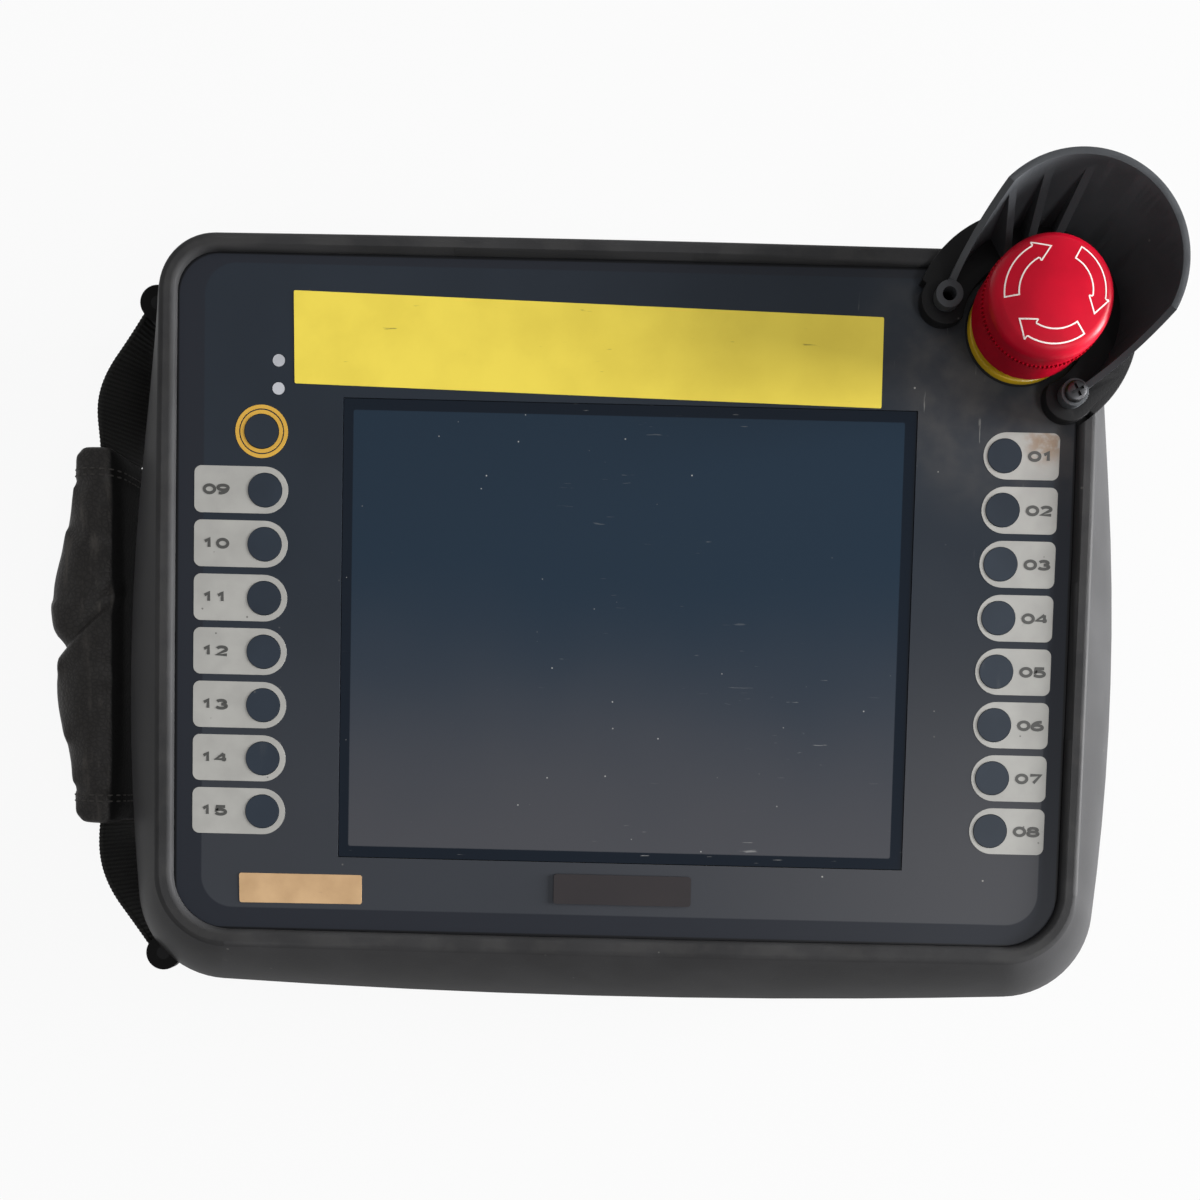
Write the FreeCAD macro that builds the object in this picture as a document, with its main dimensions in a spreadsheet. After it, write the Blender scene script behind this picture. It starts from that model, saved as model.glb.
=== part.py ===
import FreeCAD, Part
import math
import os
from types import SimpleNamespace

import Sketcher
from FreeCAD import Placement, Rotation, Vector

# Hand-held operator terminal with a touch screen, film keys, a guarded stop button and a hand strap.
# It lies on its back: X to the right, Y to the top edge of the screen, Z out of the screen.
# The origin is on the flat rear face, straight behind the centre line of the screen. Millimetres.

SIZES = {
    # Housing: a rear shell and a front shell that meet at the widest line
    "rear_depth": 30.0,
    "front_depth": 22.0,
    "wall": 2.8,
    "rim_half_width": 130.3,
    "rim_top": 108.0,
    "rim_bottom": 90.1,
    "rim_corner_top": 15.5,
    "rim_corner_bottom": 20.0,
    "rim_radius": 20000.0,
    "flare_side": 16.4,
    "flare_top": 8.0,
    "flare_bottom": 16.0,
    "flare_crown": 0.35,
    "flare_corner_top": 22.0,
    "flare_corner_bottom": 27.0,
    "side_radius": 680.0,
    "side_drop": 17.0,
    "edge_radius": 2600.0,
    "rear_taper": 24.0,
    "rear_crown": 0.55,
    "rear_corner_top": 12.0,
    "rear_corner_bottom": 15.0,
    "rear_round": 2.5,
    # Bead round the recess of the printed sheet
    "bead_height": 2.0,
    "bead_width": 4.4,
    "bead_round_outer": 2.2,
    "bead_round_inner": 1.5,
    "overlay_thick": 0.5,
    "overlay_gap": 0.15,
    "deck_thick": 2.6,
    # Seal in the joint of the two shells
    "seal_inset": 0.7,
    "seal_width": 1.4,
    "seal_height": 1.2,
    "seal_gap": 0.05,
    # Display stack
    "window_x": 1.0,
    "window_width": 160.4,
    "window_height": 128.6,
    "view_width": 154.0,
    "view_height": 121.8,
    "glass_thick": 2.2,
    "glass_sink": 0.15,
    "glass_gap": 0.2,
    "foam_width": 2.4,
    "lcd_width": 176.0,
    "lcd_height": 138.0,
    "lcd_depth": 9.0,
    "lcd_sheet": 1.0,
    "lcd_gap": 0.3,
    "lcd_glass_thick": 2.2,
    # Chassis plate and the boards behind it
    "chassis_width": 184.0,
    "chassis_height": 156.0,
    "chassis_thick": 1.2,
    "chassis_boss_inset_x": 12.0,
    "chassis_boss_inset_y": 4.5,
    "chassis_boss_radius": 3.5,
    "chassis_boss_gap": 1.0,
    "board_thick": 1.6,
    "board_width": 150.0,
    "board_height": 100.0,
    "standoff_length": 8.0,
    "standoff_radius": 2.75,
    "standoff_inset_x": 9.0,
    "standoff_inset_y": 8.0,
    "chip_side": 30.0,
    "chip_height": 3.0,
    "memory_length": 18.0,
    "memory_width": 10.0,
    "battery_radius": 10.2,
    "battery_height": 5.0,
    "buzzer_radius": 6.0,
    "buzzer_height": 8.0,
    "plug_length": 40.0,
    "plug_width": 8.0,
    "plug_height": 9.0,
    "inverter_length": 110.0,
    "inverter_width": 18.0,
    "inverter_inset": 15.0,
    "inverter_post": 5.0,
    "inverter_post_radius": 2.5,
    "inverter_post_inset": 6.0,
    "transformer_length": 22.0,
    "transformer_width": 14.0,
    "transformer_height": 8.0,
    # Screws: shank, head and the room round the shank
    "small_shank": 1.4,
    "small_head": 2.75,
    "small_head_height": 1.9,
    "small_length": 7.0,
    "case_shank": 1.5,
    "case_head": 3.0,
    "case_head_height": 2.4,
    "case_seat": 5.0,
    "case_length": 36.0,
    "case_upper_x": 76.0,
    "case_upper_y": 86.0,
    "case_side_x": 117.5,
    "case_side_y": 8.0,
    "case_lower_x": 104.0,
    "case_lower_y": 76.0,
    "case_boss_radius": 5.0,
    "case_post_radius": 4.0,
    "screw_gap": 0.15,
    "head_gap": 0.5,
    # Film keys and the switches below them
    "key_pitch": 15.0,
    "key_left_x": 100.8,
    "key_left_y": 38.2,
    "key_right_x": 105.8,
    "key_right_y": 52.5,
    "key_ringed_x": 101.9,
    "key_ringed_y": 54.4,
    "key_radius": 4.7,
    "key_gap": 0.15,
    "key_proud": 0.2,
    "key_play": 0.1,
    "key_flange": 0.9,
    "key_flange_radius": 6.4,
    "key_stem_radius": 2.0,
    "key_stem_length": 1.0,
    "key_travel": 0.5,
    "switch_side": 6.0,
    "switch_height": 3.5,
    "switch_button_radius": 1.6,
    "switch_button_height": 0.8,
    "key_board_width": 14.0,
    "key_board_margin": 14.5,
    "key_post_radius": 2.5,
    "key_post_reach": 10.7,
    # Indicators above the left column
    "indicator_x": 97.3,
    "indicator_top_y": 74.0,
    "indicator_pitch": 7.7,
    "lens_radius": 1.7,
    "lens_gap": 0.1,
    "lens_flange_radius": 2.7,
    "lens_flange": 0.8,
    "led_side": 2.4,
    "led_height": 2.2,
    "led_end": 5.0,
    "led_post_x": 105.0,
    "led_post_y": 71.0,
    # Stop button at the upper right corner
    "estop_x": 108.9,
    "estop_y": 87.0,
    "turret_radius": 28.0,
    "turret_base_radius": 19.0,
    "turret_cone": 10.0,
    "turret_rise": 3.0,
    "turret_clear": 3.0,
    "gasket_radius": 15.5,
    "gasket_thick": 1.0,
    "collar_radius": 16.8,
    "collar_thick": 2.2,
    "neck_radius": 12.8,
    "neck_height": 3.8,
    "neck_lip": 3.0,
    "barrel_radius": 10.9,
    "barrel_gap": 0.2,
    "barrel_length": 20.2,
    "bore_radius": 7.6,
    "stem_radius": 5.0,
    "stem_gap": 0.25,
    "stem_flange": 2.6,
    "stem_flange_gap": 0.3,
    "stem_tail_radius": 3.0,
    "stem_tail_length": 12.0,
    "spring_wire": 0.7,
    "spring_radius": 5.6,
    "spring_turns": 5.0,
    "spring_gap": 0.2,
    "nut_radius": 15.0,
    "nut_thick": 4.0,
    "block_side": 24.0,
    "block_height": 16.0,
    "terminal_width": 5.0,
    "terminal_height": 4.0,
    "head_radius": 16.2,
    "head_clear": 4.8,
    "head_height": 18.7,
    "skirt_height": 7.0,
    "skirt_wall": 2.7,
    "socket_depth": 5.0,
    "socket_gap": 0.08,
    "dome_radius": 62.0,
    "head_round": 3.6,
    "grip_height": 9.2,
    "grip_width": 0.9,
    "grip_depth": 0.5,
    # Guard round the stop button: base plate, hood, ribs and ears
    "hood_angle": 54.0,
    "hood_plate": 4.0,
    "hood_plate_radius": 31.0,
    "hood_plate_gap": 0.6,
    "hood_wall": 1.8,
    "hood_foot_x": 3.6,
    "hood_foot_radius": 25.4,
    "hood_rim_x": 8.9,
    "hood_rim_radius": 27.5,
    "hood_height": 24.5,
    "hood_mouth_x": 6.7,
    "hood_mouth_slope": 50.6,
    "ear_x": 7.6,
    "ear_y": 21.7,
    "ear_radius": 3.7,
    "ear_thick": 3.2,
    "ear_lobe_radius": 6.8,
    "ear_hole_radius": 1.9,
    "rib_thick": 2.2,
    "rib_foot": 15.9,
    "rib_first_angle": 24.0,
    "rib_angle": 21.0,
    "rib_top_gap": 1.6,
    "guard_head": 2.9,
    "guard_head_height": 1.9,
    "guard_length": 9.0,
    # Cable inlet in the lower wall of the rear shell
    "gland_x": 38.0,
    "gland_z": 16.0,
    "gland_radius": 5.5,
    "gland_bore": 4.0,
    "gland_flange_radius": 7.5,
    "gland_flange": 3.5,
    "gland_seat": 5.0,
    "gland_boss_radius": 8.0,
    "gland_boss_length": 12.0,
    "gland_nut_thick": 4.0,
    "gland_gap": 0.1,
    # Hand strap: bars in lugs, webbing and pad
    "bar_radius": 2.0,
    "bar_gap": 0.2,
    "bar_top_x": 140.0,
    "bar_top_y": 97.7,
    "bar_bottom_x": 137.4,
    "bar_bottom_y": 96.4,
    "lug_radius": 5.2,
    "lug_thick": 3.0,
    "lug_length": 34.0,
    "lug_low_z": 1.0,
    "lug_top_turn": -45.0,
    "lug_bottom_turn": 48.0,
    "web_thick": 1.8,
    "web_width": 20.0,
    "web_side_gap": 0.5,
    "web_x": 156.7,
    "web_bend_top_y": 72.6,
    "web_bend_bottom_y": 70.8,
    "web_bend_radius": 16.0,
    "web_slot_gap": 0.25,
    "pad_inner_x": 151.7,
    "pad_end_x": 162.8,
    "pad_outer_x": 170.3,
    "pad_top_y": 54.0,
    "pad_bottom_y": 56.2,
    "pad_low_z": 1.5,
    "pad_width": 28.0,
    "pad_round": 3.0,
}

# Where along each shell's depth its loft has a section between its two ends
MIDDLE = 0.5
# How far a cutting shape runs past the face that it cuts
OVERCUT = 5.0
# Numbers of keys, from the top of each column
RIGHT_KEYS = 8
LEFT_KEYS = 7
RIB_COUNT = 3
# Flats of the pressed spring wire
WIRE_SIDES = 6
# Flats of a nut
NUT_SIDES = 6
# Places on the main board, in shares of its width and height
ROUND_PARTS_COLUMN = -0.25
BATTERY_ROW = 0.2
BUZZER_ROW = -0.125
PROCESSOR_ROW = 0.08
# Steps from one memory chip or plug to the next, in shares of its width or length
MEMORY_STEP = 1.5
PLUG_STEP = 1.4


class Size:
    """A number together with the sheet expression that it comes from."""

    def __init__(self, value, text):
        self.value = value
        self.text = text

    def __add__(self, other):
        other = as_size(other)
        return Size(self.value + other.value, f"({self.text} + {other.text})")

    def __sub__(self, other):
        other = as_size(other)
        return Size(self.value - other.value, f"({self.text} - {other.text})")

    def __mul__(self, other):
        other = as_size(other)
        return Size(self.value * other.value, f"({self.text} * {other.text})")

    def __truediv__(self, other):
        other = as_size(other)
        return Size(self.value / other.value, f"({self.text} / {other.text})")

    def __neg__(self):
        return Size(-self.value, f"(0 - {self.text})")

    def __radd__(self, other):
        return as_size(other) + self

    def __rsub__(self, other):
        return as_size(other) - self

    def __rmul__(self, other):
        return as_size(other) * self

    def __rtruediv__(self, other):
        return as_size(other) / self


def as_size(item):
    """The item itself if it is a Size, or else a plain number as one."""
    if isinstance(item, Size):
        return item
    return Size(float(item), f"({float(item)})")


def cosine(angle):
    return Size(math.cos(math.radians(angle.value)), f"cos({angle.text})")


def sine(angle):
    return Size(math.sin(math.radians(angle.value)), f"sin({angle.text})")


def tangent(angle):
    return Size(math.tan(math.radians(angle.value)), f"tan({angle.text})")


doc = FreeCAD.newDocument("terminal")
sheet = doc.addObject("Spreadsheet::Sheet", "Dims")
for row, (alias, number) in enumerate(SIZES.items(), start=1):
    sheet.set(f"A{row}", alias)
    sheet.set(f"B{row}", str(number))
    sheet.setAlias(f"B{row}", alias)
doc.recompute()
s = SimpleNamespace(**{alias: Size(number, f"Dims.{alias}") for alias, number in SIZES.items()})

nodes = {}


def node(name, item):
    """Names the finished sub-part, which is written to a file of that name."""
    item.Label = name
    nodes[name] = item
    return item


def bind(item, sizes):
    """Ties properties of a document object to the sheet."""
    for path, size in sizes.items():
        item.setExpression(path, as_size(size).text)


def place(item, x, y, z):
    bind(item, {"Placement.Base.x": x, "Placement.Base.y": y, "Placement.Base.z": z})


def box(name, length, width, height, x, y, z):
    """A block centred on x and y that stands on z."""
    item = doc.addObject("Part::Box", name)
    bind(item, {"Length": length, "Width": width, "Height": height})
    place(item, x - as_size(length) / 2, y - as_size(width) / 2, z)
    return item


def rod(name, radius, height, x, y, z):
    """An upright cylinder that stands on z."""
    item = doc.addObject("Part::Cylinder", name)
    bind(item, {"Radius": radius, "Height": height})
    place(item, x, y, z)
    return item


def tube(name, outer, inner, height, x, y, z):
    """An upright ring that stands on z."""
    hole = rod(name + "_hole", inner, height + 2 * OVERCUT, x, y, z - OVERCUT)
    return cut(name, rod(name + "_body", outer, height, x, y, z), hole)


def fuse(name, *items):
    item = doc.addObject("Part::MultiFuse", name)
    item.Shapes = list(items)
    return item


def cut(name, base, *tools):
    item = doc.addObject("Part::Cut", name)
    item.Base = base
    item.Tool = tools[0] if len(tools) == 1 else fuse(name + "_tools", *tools)
    return item


def group(name, items):
    """Equal pieces that share a node and stay separate solids."""
    item = doc.addObject("Part::Compound", name)
    item.Links = list(items)
    return item


def loft(name, sections):
    item = doc.addObject("Part::Loft", name)
    item.Sections = sections
    item.Solid = True
    return item


def prism(name, sketch, height):
    item = doc.addObject("Part::Extrusion", name)
    item.Base = sketch
    item.DirMode = "Normal"
    item.Solid = True
    bind(item, {"LengthFwd": height})
    return item


def screw(name, shank, length, head, head_height, x, y, seat, side=1):
    """A screw whose shank runs from its seat along +Z, or along -Z with side -1."""
    body = rod(name + "_shank", shank, length, x, y, seat if side > 0 else seat - length)
    cap = rod(name + "_head", head, head_height, x, y, seat - head_height if side > 0 else seat)
    return fuse(name, body, cap)


def limit(sketch, constraint, size):
    """Adds a constraint to a sketch and ties it to the sheet."""
    index = sketch.addConstraint(constraint)
    sketch.setExpression(f"Constraints[{index}]", as_size(size).text)


def fillet_centre(first, first_radius, second, second_radius, radius, side_x, side_y):
    """Centre of a corner arc that lies inside two large arcs and touches both."""
    along = second - first
    reach = along.Length
    along = along * (1 / reach)
    near, far = first_radius - radius, second_radius - radius
    step = (near * near - far * far + reach * reach) / (2 * reach)
    rise = math.sqrt(near * near - step * step)
    across = Vector(-along.y, along.x, 0)
    options = [first + along * step + across * (rise * sign) for sign in (1, -1)]
    return max(options, key=lambda point: point.x * side_x + point.y * side_y)


def outline(name, z, form):
    """A closed sketch of four bowed sides and four corner arcs, all tangent."""
    sketch = doc.addObject("Sketcher::SketchObject", name)
    bind(sketch, {"Placement.Base.z": z})
    side, edge, drop = form.side.value, form.edge.value, form.drop.value
    right = Vector(form.half_width.value - side, -drop, 0)
    left = Vector(side - form.half_width.value, -drop, 0)
    top = Vector(0, form.top.value - edge, 0)
    bottom = Vector(0, edge - form.bottom.value, 0)
    over, under = form.corner_top.value, form.corner_bottom.value
    corner_tr = fillet_centre(right, side, top, edge, over, 1, 1)
    corner_tl = fillet_centre(left, side, top, edge, over, -1, 1)
    corner_bl = fillet_centre(left, side, bottom, edge, under, -1, -1)
    corner_br = fillet_centre(right, side, bottom, edge, under, 1, -1)
    ring = [(right, side), (corner_tr, over), (top, edge), (corner_tl, over),
            (left, side), (corner_bl, under), (bottom, edge), (corner_br, under)]
    for index, (centre, radius) in enumerate(ring):
        before, after = ring[index - 1][0], ring[(index + 1) % len(ring)][0]
        ends = (before - centre, after - centre)
        if index % 2:
            ends = (centre - before, centre - after)
        start, stop = (math.atan2(end.y, end.x) for end in ends)
        stop += 2 * math.pi if stop < start else 0
        sketch.addGeometry(Part.ArcOfCircle(Part.Circle(centre, Vector(0, 0, 1), radius), start, stop))
    for index in range(len(ring)):
        sketch.addConstraint(Sketcher.Constraint("Tangent", index, 2, (index + 1) % len(ring), 1))
    radii = [form.side, form.corner_top, form.edge, form.corner_top,
             form.side, form.corner_bottom, form.edge, form.corner_bottom]
    for index, radius in enumerate(radii):
        limit(sketch, Sketcher.Constraint("Radius", index, radius.value), radius)
    across, above, below = form.side - form.half_width, form.edge - form.top, form.edge - form.bottom
    limit(sketch, Sketcher.Constraint("DistanceX", 0, 3, -1, 1, across.value), across)
    limit(sketch, Sketcher.Constraint("DistanceX", -1, 1, 4, 3, across.value), across)
    for arc in (0, 4):
        limit(sketch, Sketcher.Constraint("DistanceY", arc, 3, -1, 1, drop), form.drop)
    for arc in (2, 6):
        sketch.addConstraint(Sketcher.Constraint("PointOnObject", arc, 3, -2))
    limit(sketch, Sketcher.Constraint("DistanceY", 2, 3, -1, 1, above.value), above)
    limit(sketch, Sketcher.Constraint("DistanceY", -1, 1, 6, 3, below.value), below)
    return sketch


def between(share, low, high):
    return low + share * (high - low)


def front_form(z, inset):
    """The front shell's outline at a height, drawn in by inset."""
    up = (z - s.rear_depth) / s.front_depth
    share = 1 - up * (1 - s.flare_crown + s.flare_crown * up)
    return SimpleNamespace(
        half_width=s.rim_half_width + share * s.flare_side - inset,
        top=s.rim_top + share * s.flare_top - inset,
        bottom=s.rim_bottom + share * s.flare_bottom - inset,
        side=1 / (share / s.side_radius + (1 - share) / s.rim_radius) - inset,
        edge=1 / (share / s.edge_radius + (1 - share) / s.rim_radius) - inset,
        drop=s.side_drop,
        corner_top=between(share, s.rim_corner_top, s.flare_corner_top) - inset,
        corner_bottom=between(share, s.rim_corner_bottom, s.flare_corner_bottom) - inset,
    )


def rear_form(z, inset):
    """The rear shell's outline at a height, drawn in by inset."""
    down = 1 - z / s.rear_depth
    share = down * (1 - s.rear_crown + s.rear_crown * down)
    pull = s.rear_taper * share + inset
    return SimpleNamespace(
        half_width=s.rim_half_width + s.flare_side - pull,
        top=s.rim_top + s.flare_top - pull,
        bottom=s.rim_bottom + s.flare_bottom - pull,
        side=s.side_radius - pull,
        edge=s.edge_radius - pull,
        drop=s.side_drop,
        corner_top=between(share, s.flare_corner_top, s.rear_corner_top) - inset,
        corner_bottom=between(share, s.flare_corner_bottom, s.rear_corner_bottom) - inset,
    )


def fillet(name, base, radii):
    """Rounds edges of a solid; radii pairs each edge number with its radius."""
    item = doc.addObject("Part::Fillet", name)
    item.Base = base
    item.Edges = [(number, radius, radius) for number, radius in radii]
    return item


def edges_at(item, z, reach=1e-4):
    """Numbers of the edges of a solid that lie flat at a height."""
    found = []
    for number, edge in enumerate(item.Shape.Edges, start=1):
        bounds = edge.BoundBox
        if abs(bounds.ZMin - z.value) < reach and abs(bounds.ZMax - z.value) < reach:
            found.append(number)
    return found


def plane_of(body, role):
    return next(item for item in body.Origin.OriginFeatures if item.Role == role)


def attach(body, name, role):
    """A sketch on one of its body's own origin planes."""
    sketch = body.newObject("Sketcher::SketchObject", name)
    sketch.AttachmentSupport = [(plane_of(body, role), "")]
    sketch.MapMode = "FlatFace"
    return sketch


def polygon(sketch, points):
    """A closed line through points whose coordinates are never negative, each tied to the sheet."""
    points = [(as_size(x), as_size(y)) for x, y in points]
    vectors = [Vector(x.value, y.value, 0) for x, y in points]
    for index, start in enumerate(vectors):
        sketch.addGeometry(Part.LineSegment(start, vectors[(index + 1) % len(vectors)]))
    for index, (x, y) in enumerate(points):
        before = (index - 1) % len(points)
        sketch.addConstraint(Sketcher.Constraint("Coincident", index, 1, before, 2))
        if x.value:
            limit(sketch, Sketcher.Constraint("DistanceX", -1, 1, index, 1, x.value), x)
        else:
            sketch.addConstraint(Sketcher.Constraint("PointOnObject", index, 1, -2))
        if y.value:
            limit(sketch, Sketcher.Constraint("DistanceY", -1, 1, index, 1, y.value), y)
        else:
            sketch.addConstraint(Sketcher.Constraint("PointOnObject", index, 1, -1))


def turned(name, points, x, y, z):
    """A body of revolution about an upright axis; points are radius and height above z."""
    body = doc.addObject("PartDesign::Body", name)
    sketch = attach(body, name + "_profile", "XZ_Plane")
    polygon(sketch, points)
    revolution = body.newObject("PartDesign::Revolution", name + "_turn")
    revolution.Profile = sketch
    revolution.ReferenceAxis = (sketch, ["V_Axis"])
    revolution.Angle = 360
    place(body, x, y, z)
    return body


# Heights that several pieces share
case_depth = s.rear_depth + s.front_depth
panel_top = case_depth - s.bead_height
deck_top = panel_top - s.overlay_thick
deck_under = deck_top - s.deck_thick
chassis_top = deck_under - s.lcd_depth
chassis_under = chassis_top - s.chassis_thick
board_top = chassis_under - s.standoff_length
board_under = board_top - s.board_thick
key_stem_end = deck_under - s.key_play - s.key_flange - s.key_stem_length
switch_top = key_stem_end - s.key_travel - s.key_play
key_board_top = switch_top - s.switch_button_height - s.switch_height
key_board_under = key_board_top - s.board_thick

# Places that several pieces share
key_places = {f"key_{row + 1:02d}": (s.key_right_x, s.key_right_y - row * s.key_pitch)
              for row in range(RIGHT_KEYS)}
key_places.update({f"key_{RIGHT_KEYS + row + 1:02d}": (-s.key_left_x, s.key_left_y - row * s.key_pitch)
                   for row in range(LEFT_KEYS)})
key_places["key_ringed"] = (-s.key_ringed_x, s.key_ringed_y)
indicator_places = [(-s.indicator_x, s.indicator_top_y - row * s.indicator_pitch) for row in range(2)]


def corner_places(width, height, inset_x, inset_y):
    """Four places set in from the corners of a plate behind the screen."""
    return [(s.window_x + across * (width / 2 - inset_x), up * (height / 2 - inset_y))
            for across in (-1, 1) for up in (-1, 1)]


# The chassis screws stand just outside the display tray
chassis_places = corner_places(s.chassis_width, s.lcd_height, s.chassis_boss_inset_x,
                               -s.chassis_boss_gap - s.chassis_boss_radius)
standoff_places = corner_places(s.board_width, s.board_height, s.standoff_inset_x, s.standoff_inset_y)
right_post_y = (s.key_right_y + s.key_post_reach,
                s.key_right_y - (RIGHT_KEYS - 1) * s.key_pitch - s.key_post_reach)
left_post_y = s.key_left_y - (LEFT_KEYS - 1) * s.key_pitch - s.key_post_reach
key_post_places = [(s.key_right_x, right_post_y[0]), (s.key_right_x, right_post_y[1]),
                   (-s.led_post_x, s.led_post_y), (-s.key_left_x, left_post_y)]
case_screw_places = [(across * x, y) for x, y in ((s.case_upper_x, s.case_upper_y),
                                                (s.case_side_x, -s.case_side_y),
                                                (s.case_lower_x, -s.case_lower_y))
                     for across in (-1, 1)]


def hood_place(x, y):
    """A place in the guard's own frame, whose x axis points away from the mouth."""
    turn_x, turn_y = cosine(s.hood_angle), sine(s.hood_angle)
    return (s.estop_x + x * turn_x - y * turn_y, s.estop_y + x * turn_y + y * turn_x)


ear_places = [hood_place(-s.ear_x, s.ear_y), hood_place(-s.ear_x, -s.ear_y)]


def bead_radii(beaded):
    """Numbers and radii of the edges along the bead's crest, outside and inside."""
    crest = next(face for face in beaded.Shape.Faces
                 if abs(face.BoundBox.ZMin - case_depth.value) < 1e-4)
    outside = crest.OuterWire.Edges
    radii = []
    for number in edges_at(beaded, case_depth):
        edge = beaded.Shape.Edges[number - 1]
        rounding = s.bead_round_outer if any(edge.isSame(other) for other in outside) else s.bead_round_inner
        radii.append((number, rounding.value))
    return radii


def make_front_case():
    """Flared skirt, bead, recess, corner turret, cavity, openings and posts."""
    middle = s.rear_depth + s.front_depth * MIDDLE
    skirt = loft("front_skirt", [outline(f"front_outline_{index}", z, front_form(z, 0))
                                 for index, z in enumerate((s.rear_depth, middle, case_depth))])
    recess_outline = outline("recess_outline", deck_top, front_form(case_depth, s.bead_width))
    recess = prism("recess", recess_outline, case_depth - deck_top + OVERCUT)
    beaded = cut("front_beaded", skirt, recess)
    doc.recompute()
    rounded = fillet("front_rounded", beaded, bead_radii(beaded))
    cone = doc.addObject("Part::Cone", "turret_cone")
    bind(cone, {"Radius1": s.turret_base_radius, "Radius2": s.turret_radius, "Height": s.turret_cone})
    place(cone, s.estop_x, s.estop_y, s.rear_depth + s.turret_rise)
    drum_low = s.rear_depth + s.turret_rise + s.turret_cone
    drum = rod("turret_drum", s.turret_radius, panel_top - drum_low, s.estop_x, s.estop_y, drum_low)
    outer = cut("front_outer", fuse("front_turret", rounded, cone, drum), recess)
    clear = rod("turret_clear", s.turret_radius + s.turret_clear, s.bead_height + OVERCUT,
                s.estop_x, s.estop_y, panel_top)
    cavity_middle = s.rear_depth + (deck_under - s.rear_depth) * MIDDLE
    cavity = loft("front_cavity", [outline(f"front_inner_{index}", z, front_form(z, s.wall))
                                   for index, z in enumerate((s.rear_depth, cavity_middle, deck_under))])
    shell = cut("front_shell", outer, clear, cavity)
    posts = [rod(f"chassis_boss_{index}", s.chassis_boss_radius, s.lcd_depth, x, y, chassis_top)
             for index, (x, y) in enumerate(chassis_places)]
    posts += [rod(f"key_post_{index}", s.key_post_radius, deck_under - key_board_top, x, y, key_board_top)
              for index, (x, y) in enumerate(key_post_places)]
    posts += [rod(f"case_post_{index}", s.case_post_radius, deck_under - s.rear_depth, x, y, s.rear_depth)
              for index, (x, y) in enumerate(case_screw_places)]
    posted = fuse("front_posted", shell, *posts)
    deep = s.deck_thick + s.overlay_thick + OVERCUT
    low = deck_under - OVERCUT / 2
    tools = [box("window_cut", s.window_width, s.window_height, deep, s.window_x, 0, low)]
    tools += [rod(f"{name}_cut", s.key_radius + s.key_gap, deep, x, y, low)
              for name, (x, y) in key_places.items()]
    tools += [rod(f"lens_cut_{index}", s.lens_radius + s.lens_gap, deep, x, y, low)
              for index, (x, y) in enumerate(indicator_places)]
    tools.append(rod("estop_cut", s.barrel_radius + s.barrel_gap, deep, s.estop_x, s.estop_y, low))
    tools += [rod(f"ear_cut_{index}", s.case_shank + s.screw_gap, deep, x, y, low)
              for index, (x, y) in enumerate(ear_places)]
    tools += [rod(f"chassis_pilot_{index}", s.small_shank + s.screw_gap, s.small_length, x, y, chassis_top)
              for index, (x, y) in enumerate(chassis_places)]
    tools += [rod(f"key_pilot_{index}", s.small_shank + s.screw_gap, s.small_length - s.board_thick,
                  x, y, key_board_top)
              for index, (x, y) in enumerate(key_post_places)]
    tools += [rod(f"case_pilot_{index}", s.case_shank + s.screw_gap,
                  s.case_seat + s.case_length + s.screw_gap - s.rear_depth, x, y, s.rear_depth)
              for index, (x, y) in enumerate(case_screw_places)]
    node("front_case", cut("front_case", posted, *tools))


def lug(name, x, y, turn, z):
    """A strap lug: a plate with a round end that runs from the bar into the shell's corner."""
    arm = doc.addObject("Part::Box", name + "_arm")
    bind(arm, {"Length": s.lug_length, "Width": 2 * s.lug_radius, "Height": s.lug_thick,
               "Placement.Rotation.Angle": turn})
    place(arm, x + s.lug_radius * sine(turn), y - s.lug_radius * cosine(turn), z)
    return fuse(name, arm, rod(name + "_end", s.lug_radius, s.lug_thick, x, y, z))


lug_high_z = s.lug_low_z + s.lug_thick + s.web_width + 2 * s.web_side_gap
bar_length = lug_high_z + s.lug_thick - s.lug_low_z
web_z = s.lug_low_z + s.lug_thick + s.web_side_gap
bar_places = [(-s.bar_top_x, s.bar_top_y), (-s.bar_bottom_x, -s.bar_bottom_y)]
gland_seat_y = -(s.rim_bottom + s.flare_bottom - s.gland_seat)


def along_y(name, radius, length, y):
    """A cylinder on the cable inlet's axis that runs from y towards +Y."""
    item = rod(name, radius, length, -s.gland_x, y, s.gland_z)
    item.Placement.Rotation = Rotation(Vector(1, 0, 0), -90)
    return item


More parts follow.
